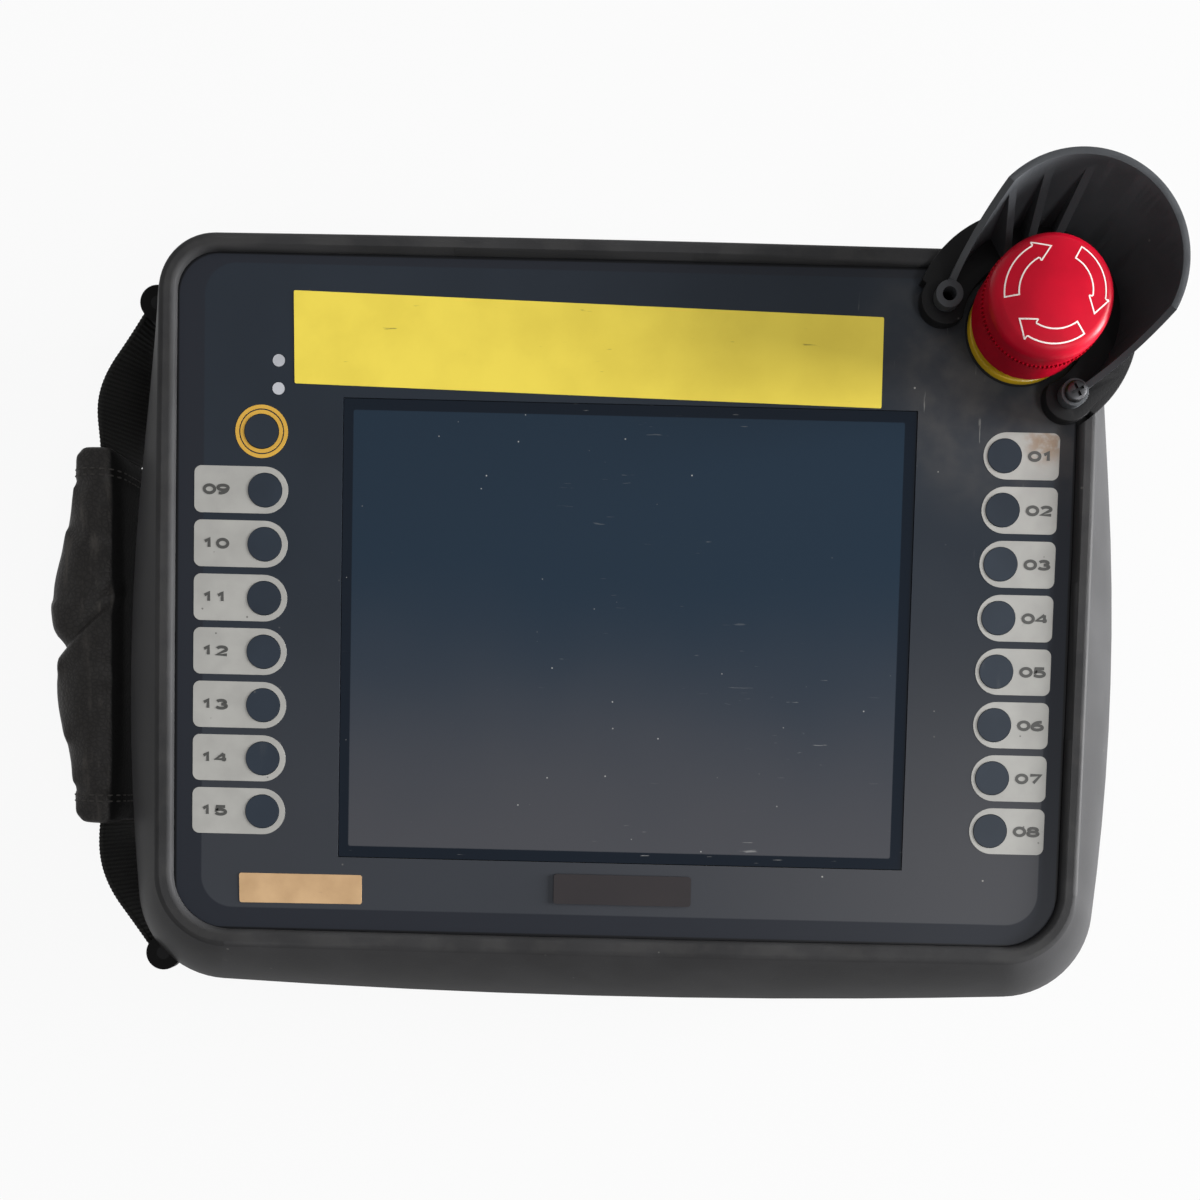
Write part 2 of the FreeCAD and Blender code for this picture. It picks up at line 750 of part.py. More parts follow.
def make_rear_case():
    """Tapered shell with strap lugs, screw bosses, seal groove and cable inlet boss."""
    middle = s.rear_depth * MIDDLE
    hull = loft("rear_hull", [outline(f"rear_outline_{index}", z, rear_form(z, 0))
                              for index, z in enumerate((as_size(0), middle, s.rear_depth))])
    doc.recompute()
    soft = fillet("rear_soft", hull, [(number, s.rear_round.value) for number in edges_at(hull, as_size(0))])
    lugs = [lug(f"lug_{index}_{level}", x, y, turn, z)
            for index, ((x, y), turn) in enumerate(zip(bar_places, (s.lug_top_turn, s.lug_bottom_turn)))
            for level, z in enumerate((s.lug_low_z, lug_high_z))]
    outer = fuse("rear_outer", soft, *lugs)
    cavity_middle = s.wall + (s.rear_depth - s.wall) * MIDDLE
    cavity = loft("rear_cavity", [outline(f"rear_inner_{index}", z, rear_form(z, s.wall))
                                  for index, z in enumerate((s.wall, cavity_middle, s.rear_depth))])
    inlet = along_y("inlet_boss", s.gland_boss_radius, s.gland_boss_length, gland_seat_y)
    hollow = cut("rear_hollow", outer, cavity)
    bosses = [rod(f"rear_boss_{index}", s.case_boss_radius, s.rear_depth - s.wall, x, y, s.wall)
              for index, (x, y) in enumerate(case_screw_places)]
    bossed = fuse("rear_bossed", hollow, inlet, *bosses)
    tools = [rod(f"rear_hole_{index}", s.case_shank + s.screw_gap, s.rear_depth + 2 * OVERCUT, x, y, -OVERCUT)
             for index, (x, y) in enumerate(case_screw_places)]
    tools += [rod(f"rear_counterbore_{index}", s.case_head + s.head_gap, s.case_seat + OVERCUT,
                  x, y, -OVERCUT)
              for index, (x, y) in enumerate(case_screw_places)]
    tools += [rod(f"bar_hole_{index}", s.bar_radius, bar_length, x, y, s.lug_low_z)
              for index, (x, y) in enumerate(bar_places)]
    tools.append(along_y("inlet_bore", s.gland_radius + s.gland_gap, s.gland_boss_length + 2 * OVERCUT,
                         gland_seat_y - OVERCUT))
    face_depth = 2 * s.gland_boss_length
    tools.append(along_y("inlet_face", s.gland_boss_radius, face_depth, gland_seat_y - face_depth))
    tools.append(seal_ring("seal_groove", s.seal_gap))
    node("rear_case", cut("rear_case", bossed, *tools))


def seal_ring(name, room):
    """A ring in the joint line, made wider by room on each side."""
    low = s.rear_depth - s.seal_height
    outer = outline(name + "_outer", low, rear_form(s.rear_depth, s.seal_inset - room))
    inner = outline(name + "_inner", low, rear_form(s.rear_depth, s.seal_inset + s.seal_width + room))
    return cut(name, prism(name + "_body", outer, s.seal_height), prism(name + "_core", inner, s.seal_height))


def make_overlay():
    sheet_outline = outline("overlay_outline", deck_top, front_form(case_depth, s.bead_width + s.overlay_gap))
    body = prism("overlay_body", sheet_outline, s.overlay_thick)
    low, deep = deck_top - OVERCUT, s.overlay_thick + 2 * OVERCUT
    tools = [box("overlay_window", s.window_width, s.window_height, deep, s.window_x, 0, low),
             rod("overlay_eye", s.barrel_radius + s.barrel_gap, deep, s.estop_x, s.estop_y, low)]
    tools += [rod(f"overlay_ear_{index}", s.case_shank + s.screw_gap, deep, x, y, low)
              for index, (x, y) in enumerate(ear_places)]
    tools += [rod(f"{name}_opening", s.key_radius + s.key_gap, deep, x, y, low)
              for name, (x, y) in key_places.items()]
    tools += [rod(f"lens_opening_{index}", s.lens_radius + s.lens_gap, deep, x, y, low)
              for index, (x, y) in enumerate(indicator_places)]
    node("overlay_sheet", cut("overlay_sheet", body, *tools))


def make_display():
    """Touch glass, foam, display tray, display glass and backlight, from the front to the back."""
    width, height = s.window_width - 2 * s.glass_gap, s.window_height - 2 * s.glass_gap
    glass_low = panel_top - s.glass_sink - s.glass_thick
    node("touch_glass", box("touch_glass", width, height, s.glass_thick, s.window_x, 0, glass_low))
    foam = box("foam_body", width, height, glass_low - deck_under, s.window_x, 0, deck_under)
    foam_hole = box("foam_hole", width - 2 * s.foam_width, height - 2 * s.foam_width, 2 * OVERCUT,
                    s.window_x, 0, deck_under - OVERCUT)
    node("touch_foam", cut("touch_foam", foam, foam_hole))
    tray = box("tray_body", s.lcd_width, s.lcd_height, s.lcd_depth, s.window_x, 0, chassis_top)
    inside_width, inside_height = s.lcd_width - 2 * s.lcd_sheet, s.lcd_height - 2 * s.lcd_sheet
    hollow = box("tray_hollow", inside_width, inside_height, s.lcd_depth - s.lcd_sheet + OVERCUT,
                 s.window_x, 0, chassis_top - OVERCUT)
    view = box("tray_view", s.view_width, s.view_height, 2 * OVERCUT, s.window_x, 0, deck_under - OVERCUT)
    node("lcd_frame", cut("lcd_frame", tray, hollow, view))
    width, height = inside_width - 2 * s.lcd_gap, inside_height - 2 * s.lcd_gap
    glass_low = deck_under - s.lcd_sheet - s.lcd_glass_thick
    node("lcd_glass", box("lcd_glass", width, height, s.lcd_glass_thick, s.window_x, 0, glass_low))
    node("backlight", box("backlight", width, height, glass_low - chassis_top, s.window_x, 0, chassis_top))


def make_chassis():
    """Plate behind the display, whose straps reach past its screws however tall the plate is."""
    body = box("chassis_body", s.chassis_width, s.chassis_height, s.chassis_thick,
               s.window_x, 0, chassis_under)
    straps = [box(f"chassis_strap_{index}", 2 * s.chassis_boss_inset_y, 2 * (y + s.chassis_boss_inset_y),
                  s.chassis_thick, x, 0, chassis_under)
              for index, (x, y) in enumerate(chassis_places[1::2])]
    plate = fuse("chassis_strapped", body, *straps)
    plate.Refine = True
    holes = [rod(f"chassis_hole_{index}", s.small_shank + s.screw_gap, s.chassis_thick + 2 * OVERCUT,
                 x, y, chassis_under - OVERCUT)
             for index, (x, y) in enumerate(chassis_places)]
    node("chassis_plate", cut("chassis_plate", plate, *holes))
    node("chassis_screws", group("chassis_screws", [
        screw(f"chassis_screw_{index}", s.small_shank, s.small_length, s.small_head, s.small_head_height,
              x, y, chassis_under)
        for index, (x, y) in enumerate(chassis_places)]))


def make_boards():
    """Main board on standoffs, the pieces soldered on it, and the backlight's inverter board."""
    x0 = s.window_x
    board = box("board_body", s.board_width, s.board_height, s.board_thick, x0, 0, board_under)
    holes = [rod(f"board_hole_{index}", s.small_shank + s.screw_gap, s.board_thick + 2 * OVERCUT,
                 x, y, board_under - OVERCUT)
             for index, (x, y) in enumerate(standoff_places)]
    node("main_board", cut("main_board", board, *holes))
    node("board_standoffs", group("board_standoffs", [
        tube(f"standoff_{index}", s.standoff_radius, s.small_shank + s.screw_gap, s.standoff_length,
             x, y, board_top)
        for index, (x, y) in enumerate(standoff_places)]))
    node("board_screws", group("board_screws", [
        screw(f"board_screw_{index}", s.small_shank, s.small_length, s.small_head, s.small_head_height,
              x, y, board_under)
        for index, (x, y) in enumerate(standoff_places)]))
    chip = box("processor", s.chip_side, s.chip_side, s.chip_height,
               x0, s.board_height * PROCESSOR_ROW, board_under - s.chip_height)
    memory = [box(f"memory_{index}", s.memory_length, s.memory_width, s.chip_height,
                  x0 + s.chip_side + s.memory_length / 2, index * MEMORY_STEP * s.memory_width,
                  board_under - s.chip_height)
              for index in range(2)]
    node("board_chips", group("board_chips", [chip, *memory]))
    node("backup_battery", rod("backup_battery", s.battery_radius, s.battery_height,
                               x0 + s.board_width * ROUND_PARTS_COLUMN, s.board_height * BATTERY_ROW,
                               board_under - s.battery_height))
    node("buzzer", rod("buzzer", s.buzzer_radius, s.buzzer_height,
                       x0 + s.board_width * ROUND_PARTS_COLUMN, s.board_height * BUZZER_ROW,
                       board_under - s.buzzer_height))
    edge_y = -(s.board_height - s.plug_width) / 2
    node("board_connectors", group("board_connectors", [
        box(f"board_connector_{index}", s.plug_length, s.plug_width, s.plug_height,
            x0 + side * s.plug_length * PLUG_STEP / 2, edge_y, board_under - s.plug_height)
        for index, side in enumerate((-1, 1))]))
    inverter_low = chassis_under - s.inverter_post - s.board_thick
    inverter_y = s.inverter_inset - s.chassis_height / 2
    strip = box("inverter_strip", s.inverter_length, s.inverter_width, s.board_thick,
                x0, inverter_y, inverter_low)
    coil = box("inverter_coil", s.transformer_length, s.transformer_width, s.transformer_height,
               x0, inverter_y, inverter_low - s.transformer_height)
    posts = [rod(f"inverter_post_{index}", s.inverter_post_radius, s.inverter_post,
                 x0 + side * (s.inverter_length / 2 - s.inverter_post_inset), inverter_y,
                 chassis_under - s.inverter_post)
             for index, side in enumerate((-1, 1))]
    node("inverter_board", fuse("inverter_board", strip, coil, *posts))


def make_keys():
    """One press key for each place, with a flange that keeps it below the deck."""
    stem_end = s.key_stem_length
    flange_top = stem_end + s.key_flange
    cap_top = panel_top + s.key_proud - key_stem_end
    profile = [(0, 0), (s.key_stem_radius, 0), (s.key_stem_radius, stem_end), (s.key_flange_radius, stem_end),
               (s.key_flange_radius, flange_top), (s.key_radius, flange_top), (s.key_radius, cap_top),
               (0, cap_top)]
    for name, (x, y) in key_places.items():
        node(name, turned(name, profile, x, y, key_stem_end))


def make_key_boards():
    """A narrow board below each key column, with its switches, screws and indicator lamps."""
    spans = {"key_board_right": (s.key_right_x, s.key_right_y + s.key_board_margin, right_post_y[1]),
             "key_board_left": (-s.key_left_x, s.indicator_top_y + s.led_end, left_post_y)}
    reach = s.key_board_margin - s.key_post_reach
    for name, (x, top_y, post_y) in spans.items():
        low_y = post_y - reach
        board = box(name + "_body", s.key_board_width, top_y - low_y, s.board_thick,
                    x, (top_y + low_y) / 2, key_board_under)
        holes = [rod(f"{name}_hole_{index}", s.small_shank + s.screw_gap, s.board_thick + 2 * OVERCUT,
                     post_x, y, key_board_under - OVERCUT)
                 for index, (post_x, y) in enumerate(key_post_places) if post_x.value * x.value > 0]
        node(name, cut(name, board, *holes))
    node("key_board_screws", group("key_board_screws", [
        screw(f"key_board_screw_{index}", s.small_shank, s.small_length - s.screw_gap, s.small_head,
              s.small_head_height, x, y, key_board_under)
        for index, (x, y) in enumerate(key_post_places)]))
    switches = []
    for name, (x, y) in key_places.items():
        case = box(name + "_switch_case", s.switch_side, s.switch_side, s.switch_height, x, y, key_board_top)
        button = rod(name + "_switch_button", s.switch_button_radius, s.switch_button_height,
                     x, y, key_board_top + s.switch_height)
        switches.append(fuse(name + "_switch", case, button))
    node("tact_switches", group("tact_switches", switches))
    lamp_top = key_board_top + s.led_height
    foot, head = s.lens_gap, deck_under - s.lens_gap - lamp_top
    profile = [(0, foot), (s.lens_radius, foot), (s.lens_radius, head - s.lens_flange),
               (s.lens_flange_radius, head - s.lens_flange), (s.lens_flange_radius, head),
               (s.lens_radius, head), (s.lens_radius, panel_top - lamp_top), (0, panel_top - lamp_top)]
    node("indicator_lenses", group("indicator_lenses", [
        turned(f"lens_{index}", profile, x, y, lamp_top) for index, (x, y) in enumerate(indicator_places)]))
    node("indicator_leds", group("indicator_leds", [
        box(f"led_{index}", s.led_side, s.led_side, s.led_height, x, y, key_board_top)
        for index, (x, y) in enumerate(indicator_places)]))


def make_estop():
    """The stop button: gasket, collar, bushing, nut, contact block, spring, stem and mushroom head."""
    x, y = s.estop_x, s.estop_y
    hole = s.barrel_radius + s.barrel_gap
    collar_low = panel_top + s.gasket_thick
    neck_low = collar_low + s.collar_thick
    barrel_low = neck_low - s.barrel_length
    neck_top = neck_low + s.neck_height
    node("estop_seal", tube("estop_seal", s.gasket_radius, hole, s.gasket_thick, x, y, panel_top))
    node("estop_collar", tube("estop_collar", s.collar_radius, hole, s.collar_thick, x, y, collar_low))
    lip = s.barrel_length + s.neck_height - s.neck_lip
    top = s.barrel_length + s.neck_height
    node("estop_bushing", turned("estop_bushing", [
        (s.bore_radius, 0), (s.barrel_radius, 0), (s.barrel_radius, s.barrel_length),
        (s.neck_radius, s.barrel_length), (s.neck_radius, top), (s.stem_radius + s.stem_gap, top),
        (s.stem_radius + s.stem_gap, lip), (s.bore_radius, lip)], x, y, barrel_low))
    nut = doc.addObject("Part::Prism", "nut_body")
    nut.Polygon = NUT_SIDES
    bind(nut, {"Circumradius": s.nut_radius, "Height": s.nut_thick})
    place(nut, x, y, deck_under - s.nut_thick)
    nut_hole = rod("nut_hole", hole, s.nut_thick + 2 * OVERCUT, x, y, deck_under - s.nut_thick - OVERCUT)
    node("estop_nut", cut("estop_nut", nut, nut_hole))
    block_low = barrel_low - s.block_height
    block = box("block_body", s.block_side, s.block_side, s.block_height, x, y, block_low)
    terminals = [box(f"block_terminal_{index}", s.terminal_width, s.terminal_width, s.terminal_height,
                     x + across * s.block_side / 4, y + up * s.block_side / 4, block_low - s.terminal_height)
                 for index, (across, up) in enumerate(((-1, -1), (-1, 1), (1, -1), (1, 1)))]
    node("estop_contact_block", fuse("estop_contact_block", block, *terminals))
    flange_top = neck_top - s.neck_lip - s.stem_flange_gap
    flange_low = flange_top - s.stem_flange
    tail_low = flange_low - s.stem_tail_length
    head_low = neck_low + s.head_clear
    stem_top = head_low + s.skirt_height + s.socket_depth - s.stem_gap
    node("estop_stem", turned("estop_stem", [
        (0, 0), (s.stem_tail_radius, 0), (s.stem_tail_radius, flange_low - tail_low),
        (s.bore_radius - s.stem_gap, flange_low - tail_low),
        (s.bore_radius - s.stem_gap, flange_top - tail_low),
        (s.stem_radius, flange_top - tail_low), (s.stem_radius, stem_top - tail_low),
        (0, stem_top - tail_low)], x, y, tail_low))
    helix = doc.addObject("Part::Helix", "spring_helix")
    coil_height = flange_low - barrel_low - 2 * (s.spring_wire + s.spring_gap)
    bind(helix, {"Radius": s.spring_radius, "Height": coil_height, "Pitch": coil_height / s.spring_turns})
    helix.SegmentLength = s.spring_turns.value
    place(helix, x, y, barrel_low + s.spring_wire + s.spring_gap)
    wire = doc.addObject("Part::RegularPolygon", "spring_wire_section")
    wire.Polygon = WIRE_SIDES
    bind(wire, {"Circumradius": s.spring_wire})
    wire.Placement.Rotation = Rotation(Vector(1, 0, 0), 90)
    place(wire, x + s.spring_radius, y, barrel_low + s.spring_wire + s.spring_gap)
    doc.recompute()
    spring = doc.addObject("Part::Sweep", "estop_spring")
    spring.Sections = [wire]
    spring.Spine = (helix, [f"Edge{number}" for number in range(1, len(helix.Shape.Edges) + 1)])
    spring.Solid = True
    spring.Frenet = True
    node("estop_spring", spring)
    inner = s.head_radius - s.skirt_wall
    socket = s.stem_radius + s.socket_gap
    groove = s.grip_height + s.grip_width
    blank = turned("head_blank", [
        (inner, 0), (s.head_radius, 0), (s.head_radius, s.grip_height),
        (s.head_radius - s.grip_depth, s.grip_height), (s.head_radius - s.grip_depth, groove),
        (s.head_radius, groove), (s.head_radius, s.head_height), (0, s.head_height),
        (0, s.skirt_height + s.socket_depth), (socket, s.skirt_height + s.socket_depth),
        (socket, s.skirt_height), (inner, s.skirt_height)], x, y, head_low)
    dome = doc.addObject("Part::Sphere", "head_dome")
    bind(dome, {"Radius": s.dome_radius})
    place(dome, x, y, head_low + s.head_height - s.dome_radius)
    domed = doc.addObject("Part::Common", "head_domed")
    domed.Base = blank
    domed.Tool = dome
    doc.recompute()
    edges = domed.Shape.Edges
    full_turn = 2 * math.pi * inner.value
    shoulder = max(range(len(edges)), key=lambda number: (edges[number].Length > full_turn,
                                                          edges[number].BoundBox.ZMin))
    node("estop_head", fillet("estop_head", domed, [(shoulder + 1, s.head_round.value)]))


def make_guard():
    """Base plate, scoop-shaped hood with ribs and ears, and the screw in the lower ear."""
    plate_top = panel_top + s.hood_plate
    disc = rod("guard_disc", s.hood_plate_radius, s.hood_plate, s.estop_x, s.estop_y, panel_top)
    trim = doc.addObject("Part::Box", "guard_trim")
    bind(trim, {"Length": s.hood_plate_radius, "Width": 2 * s.hood_plate_radius, "Height": 2 * s.hood_plate,
                "Placement.Rotation.Angle": s.hood_angle})
    trim_place = hood_place(-s.ear_x - s.hood_plate_radius, -s.hood_plate_radius)
    place(trim, *trim_place, panel_top - s.hood_plate / 2)
    lobes = [rod(f"guard_lobe_{index}", s.ear_lobe_radius, s.hood_plate, x, y, panel_top)
             for index, (x, y) in enumerate(ear_places)]
    plate = fuse("guard_plate", cut("guard_sector", disc, trim), *lobes)
    openings = [rod("guard_eye", s.collar_radius + s.hood_plate_gap, 3 * s.hood_plate,
                    s.estop_x, s.estop_y, panel_top - s.hood_plate)]
    openings += [rod(f"guard_hole_{index}", s.case_shank + s.screw_gap, 3 * s.hood_plate,
                     x, y, panel_top - s.hood_plate)
                 for index, (x, y) in enumerate(ear_places)]
    node("guard_base", cut("guard_base", plate, *openings))
    make_hood(plate_top)
    x, y = ear_places[1]
    node("guard_screw", screw("guard_screw", s.case_shank, s.guard_length, s.guard_head, s.guard_head_height,
                              x, y, plate_top + s.ear_thick, side=-1))


def ring_sketch(body, name, x, radius, z):
    """A circle on the hood's axis of symmetry at a height."""
    sketch = attach(body, name, "XY_Plane")
    bind(sketch, {"AttachmentOffset.Base.z": z})
    sketch.addGeometry(Part.Circle(Vector(x.value, 0, 0), Vector(0, 0, 1), radius.value))
    sketch.addConstraint(Sketcher.Constraint("PointOnObject", 0, 3, -1))
    limit(sketch, Sketcher.Constraint("DistanceX", -1, 1, 0, 3, x.value), x)
    limit(sketch, Sketcher.Constraint("Radius", 0, radius.value), radius)
    return sketch


def ear_sketch(body, name, radius):
    """A circle about the centre of each ear."""
    sketch = attach(body, name, "XY_Plane")
    for arc, side in enumerate((1, -1)):
        centre = Vector(-s.ear_x.value, side * s.ear_y.value, 0)
        sketch.addGeometry(Part.Circle(centre, Vector(0, 0, 1), radius.value))
        limit(sketch, Sketcher.Constraint("Radius", arc, radius.value), radius)
        limit(sketch, Sketcher.Constraint("DistanceX", arc, 3, -1, 1, s.ear_x.value), s.ear_x)
        ends = (-1, 1, arc, 3) if side > 0 else (arc, 3, -1, 1)
        limit(sketch, Sketcher.Constraint("DistanceY", *ends, s.ear_y.value), s.ear_y)
    return sketch


def feature(body, kind, name, profile, **sizes):
    """A step of a body that leaves its faces unmerged, so that the slanted wall stays closed."""
    item = body.newObject("PartDesign::" + kind, name)
    item.Profile = profile
    item.Refine = False
    bind(item, sizes)
    return item


def make_hood(z):
    """The hood in its own frame, with x away from the mouth, stood on the base plate."""
    body = doc.addObject("PartDesign::Body", "guard_hood")
    lean = (s.hood_rim_x - s.hood_foot_x) / s.hood_height
    swell = (s.hood_rim_radius - s.hood_foot_radius) / s.hood_height
    foot = ring_sketch(body, "hood_foot", s.hood_foot_x, s.hood_foot_radius, 0)
    wall = feature(body, "AdditiveLoft", "hood_wall", foot)
    wall.Sections = [ring_sketch(body, "hood_rim", s.hood_rim_x, s.hood_rim_radius, s.hood_height)]
    doc.recompute()
    inner_foot = ring_sketch(body, "hood_hollow_foot", s.hood_foot_x - lean * OVERCUT,
                             s.hood_foot_radius - swell * OVERCUT - s.hood_wall, -OVERCUT)
    hollow = feature(body, "SubtractiveLoft", "hood_hollow", inner_foot)
    hollow.Sections = [ring_sketch(body, "hood_hollow_rim", s.hood_rim_x + lean * OVERCUT,
                                   s.hood_rim_radius + swell * OVERCUT - s.hood_wall,
                                   s.hood_height + OVERCUT)]
    doc.recompute()
    for index in range(RIB_COUNT):
        outline_of_rib = rib_sketch(body, index, s.rib_first_angle + index * s.rib_angle, lean, swell)
        rib = feature(body, "Pad", f"hood_rib_{index}", outline_of_rib, Length=s.rib_thick)
        rib.Midplane = True
        doc.recompute()
    mouth_line = attach(body, "hood_mouth_line", "XZ_Plane")
    far = 4 * s.hood_rim_radius
    bind(mouth_line, {"AttachmentOffset.Base.x": -(s.hood_mouth_x + far)})
    polygon(mouth_line, [(0, 0), (far, 0), (2 * far, far * tangent(s.hood_mouth_slope)),
                         (0, far * tangent(s.hood_mouth_slope))])
    mouth = feature(body, "Pocket", "hood_mouth", mouth_line, Length=far)
    mouth.Midplane = True
    doc.recompute()
    feature(body, "Pad", "hood_ears", ear_sketch(body, "hood_ear_outline", s.ear_radius), Length=s.ear_thick)
    doc.recompute()
    drill = feature(body, "Pocket", "hood_drill", ear_sketch(body, "hood_ear_holes", s.ear_hole_radius),
                    Length=4 * s.ear_thick)
    drill.Midplane = True
    place(body, s.estop_x, s.estop_y, z)
    bind(body, {"Placement.Rotation.Angle": s.hood_angle})
    node("guard_hood", body)


def rib_sketch(body, index, angle, lean, swell):
    """A gusset in an upright plane through the foot's centre, sunk half a wall into the hood."""
    sketch = attach(body, f"rib_outline_{index}", "XZ_Plane")
    sketch.AttachmentOffset = Placement(Vector(0, 0, 0), Rotation(Vector(0, 1, 0), angle.value))
    bind(sketch, {"AttachmentOffset.Base.x": s.hood_foot_x, "AttachmentOffset.Rotation.Angle": angle})
    sunk = s.hood_foot_radius - s.hood_wall / 2
    top = s.hood_height - s.rib_top_gap
    reach = sunk + top * (lean * cosine(angle) + swell)
    polygon(sketch, [(s.rib_foot, 0), (sunk, 0), (reach, top)])
    return sketch


def make_gland():
    """Cable inlet: a flanged bush through the rear shell's wall and the nut that holds it."""
    inner_y = gland_seat_y + s.gland_boss_length
    length = s.gland_flange + s.gland_boss_length + s.gland_nut_thick
    front_y = gland_seat_y - s.gland_flange
    flange = along_y("gland_flange_body", s.gland_flange_radius, s.gland_flange, front_y)
    barrel = along_y("gland_barrel", s.gland_radius, length, front_y)
    bore = along_y("gland_bore_cut", s.gland_bore, length + 2 * OVERCUT, front_y - OVERCUT)
    node("cable_gland", cut("cable_gland", fuse("gland_body", flange, barrel), bore))
    nut = doc.addObject("Part::Prism", "gland_nut_body")
    nut.Polygon = NUT_SIDES
    bind(nut, {"Circumradius": s.gland_flange_radius, "Height": s.gland_nut_thick})
    nut.Placement.Rotation = Rotation(Vector(1, 0, 0), -90)
    place(nut, -s.gland_x, inner_y, s.gland_z)
    hole = along_y("gland_nut_hole", s.gland_radius + s.gland_gap, s.gland_nut_thick + 2 * OVERCUT,
                   inner_y - OVERCUT)
    node("gland_nut", cut("gland_nut", nut, hole))


def strap_path():
    """The webbing's middle line: off the upper bar, down through the pad and back to the lower bar."""
    loop = s.bar_radius.value + s.bar_gap.value + s.web_thick.value / 2
    bends = (s.web_bend_top_y.value, -s.web_bend_bottom_y.value)
    corners = [Vector(-s.web_x.value, bend, 0) for bend in bends]
    bars = [Vector(x.value, y.value, 0) for x, y in bar_places]
    ends = []
    for bar, corner, side in zip(bars, corners, (1, -1)):
        along = corner - bar
        reach = along.Length
        tilt = side * math.asin(loop / reach)
        base = math.atan2(along.y, along.x)
        normal = base - side * math.pi / 2 + tilt
        ends.append(bar + Vector(math.cos(normal), math.sin(normal), 0) * loop)
    points = [ends[0], corners[0], corners[1], ends[1]]
    edges, start = [], points[0]
    for before, corner, after in zip(points, points[1:], points[2:]):
        back, ahead = (before - corner).normalize(), (after - corner).normalize()
        half = math.acos(back.dot(ahead)) / 2
        trim = s.web_bend_radius.value / math.tan(half)
        heart = corner + (back + ahead).normalize() * (s.web_bend_radius.value / math.sin(half))
        first, last = corner + back * trim, corner + ahead * trim
        top = heart + (corner - heart).normalize() * s.web_bend_radius.value
        edges += [Part.LineSegment(start, first).toShape(), Part.Arc(first, top, last).toShape()]
        start = last
    edges.append(Part.LineSegment(start, points[-1]).toShape())
    return Part.Wire(edges)


def band(path, thick, width, z):
    """A flat band of a thickness to both sides of a path, with its width along Z."""
    sides = [path.makeOffset2D(side * thick / 2, openResult=True) for side in (1, -1)]
    ends = [[Vector(wire.OrderedVertexes[index].Point) for index in (0, -1)] for wire in sides]
    caps = [Part.LineSegment(ends[0][index], ends[1][index]).toShape() for index in (0, 1)]
    edges = Part.sortEdges([*sides[0].Edges, *sides[1].Edges, *caps])[0]
    face = Part.Face(Part.Wire(edges))
    solid = face.extrude(Vector(0, 0, width))
    solid.translate(Vector(0, 0, z))
    return solid


def make_strap():
    """Bars in the lugs, webbing looped round them, and the pad that the webbing runs through."""
    node("strap_bars", group("strap_bars", [
        rod(f"strap_bar_{index}", s.bar_radius, bar_length, x, y, s.lug_low_z)
        for index, (x, y) in enumerate(bar_places)]))
    path = strap_path()
    width, thick = s.web_width.value, s.web_thick.value
    solid = band(path, thick, width, web_z.value)
    inner = s.bar_radius.value + s.bar_gap.value
    for x, y in bar_places:
        foot = Vector(x.value, y.value, web_z.value)
        solid = solid.fuse(Part.makeCylinder(inner + thick, width, foot))
    for x, y in bar_places:
        foot = Vector(x.value, y.value, web_z.value)
        solid = solid.cut(Part.makeCylinder(inner, width, foot))
    webbing = doc.addObject("Part::Feature", "strap_webbing")
    webbing.Shape = solid.removeSplitter()
    node("strap_webbing", webbing)
    top, bottom = s.pad_top_y.value, -s.pad_bottom_y.value
    near, end, far = -s.pad_inner_x.value, -s.pad_end_x.value, -s.pad_outer_x.value
    corners = [Vector(near, bottom, 0), Vector(near, top, 0), Vector(end, top, 0), Vector(end, bottom, 0)]
    outline_edges = [Part.LineSegment(corners[index], corners[index + 1]).toShape() for index in (0, 1)]
    outline_edges.append(Part.Arc(corners[2], Vector(far, (top + bottom) / 2, 0), corners[3]).toShape())
    outline_edges.append(Part.LineSegment(corners[3], corners[0]).toShape())
    block = Part.Face(Part.Wire(outline_edges)).extrude(Vector(0, 0, s.pad_width.value))
    block.translate(Vector(0, 0, s.pad_low_z.value))
    block = block.makeFillet(s.pad_round.value, block.Edges)
    room = 2 * s.web_slot_gap.value
    tunnel = band(path, thick + room, width + room, web_z.value - s.web_slot_gap.value)
    pad = doc.addObject("Part::Feature", "strap_pad")
    pad.Shape = block.cut(tunnel)
    node("strap_pad", pad)


make_front_case()
make_rear_case()
node("case_seal", seal_ring("case_seal", 0))
node("case_screws", group("case_screws", [
    screw(f"case_screw_{index}", s.case_shank, s.case_length, s.case_head, s.case_head_height,
          x, y, s.case_seat)
    for index, (x, y) in enumerate(case_screw_places)]))
make_overlay()
make_display()
make_chassis()
make_boards()
make_keys()
make_key_boards()
make_estop()
make_guard()
make_gland()
make_strap()
doc.recompute()

faults = [item.Name for item in doc.Objects if "Invalid" in item.State or "Error" in item.State]
faults += [name for name, item in nodes.items() if item.Shape.isNull() or not item.Shape.isValid()]
if faults:
    raise RuntimeError("failed objects: " + ", ".join(faults))
os.makedirs("parts", exist_ok=True)
for name, item in nodes.items():
    item.Shape.exportStep(f"parts/{name}.step")
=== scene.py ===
"""Hand-held operator terminal: finishes, printed panel, stop button, guard and hand strap."""
import logging
import math
from dataclasses import dataclass, field
from enum import Enum
from typing import Any, Iterable, Optional, Sequence, Union

import bmesh
import bpy
from mathutils import Matrix, Vector
from mathutils.bvhtree import BVHTree


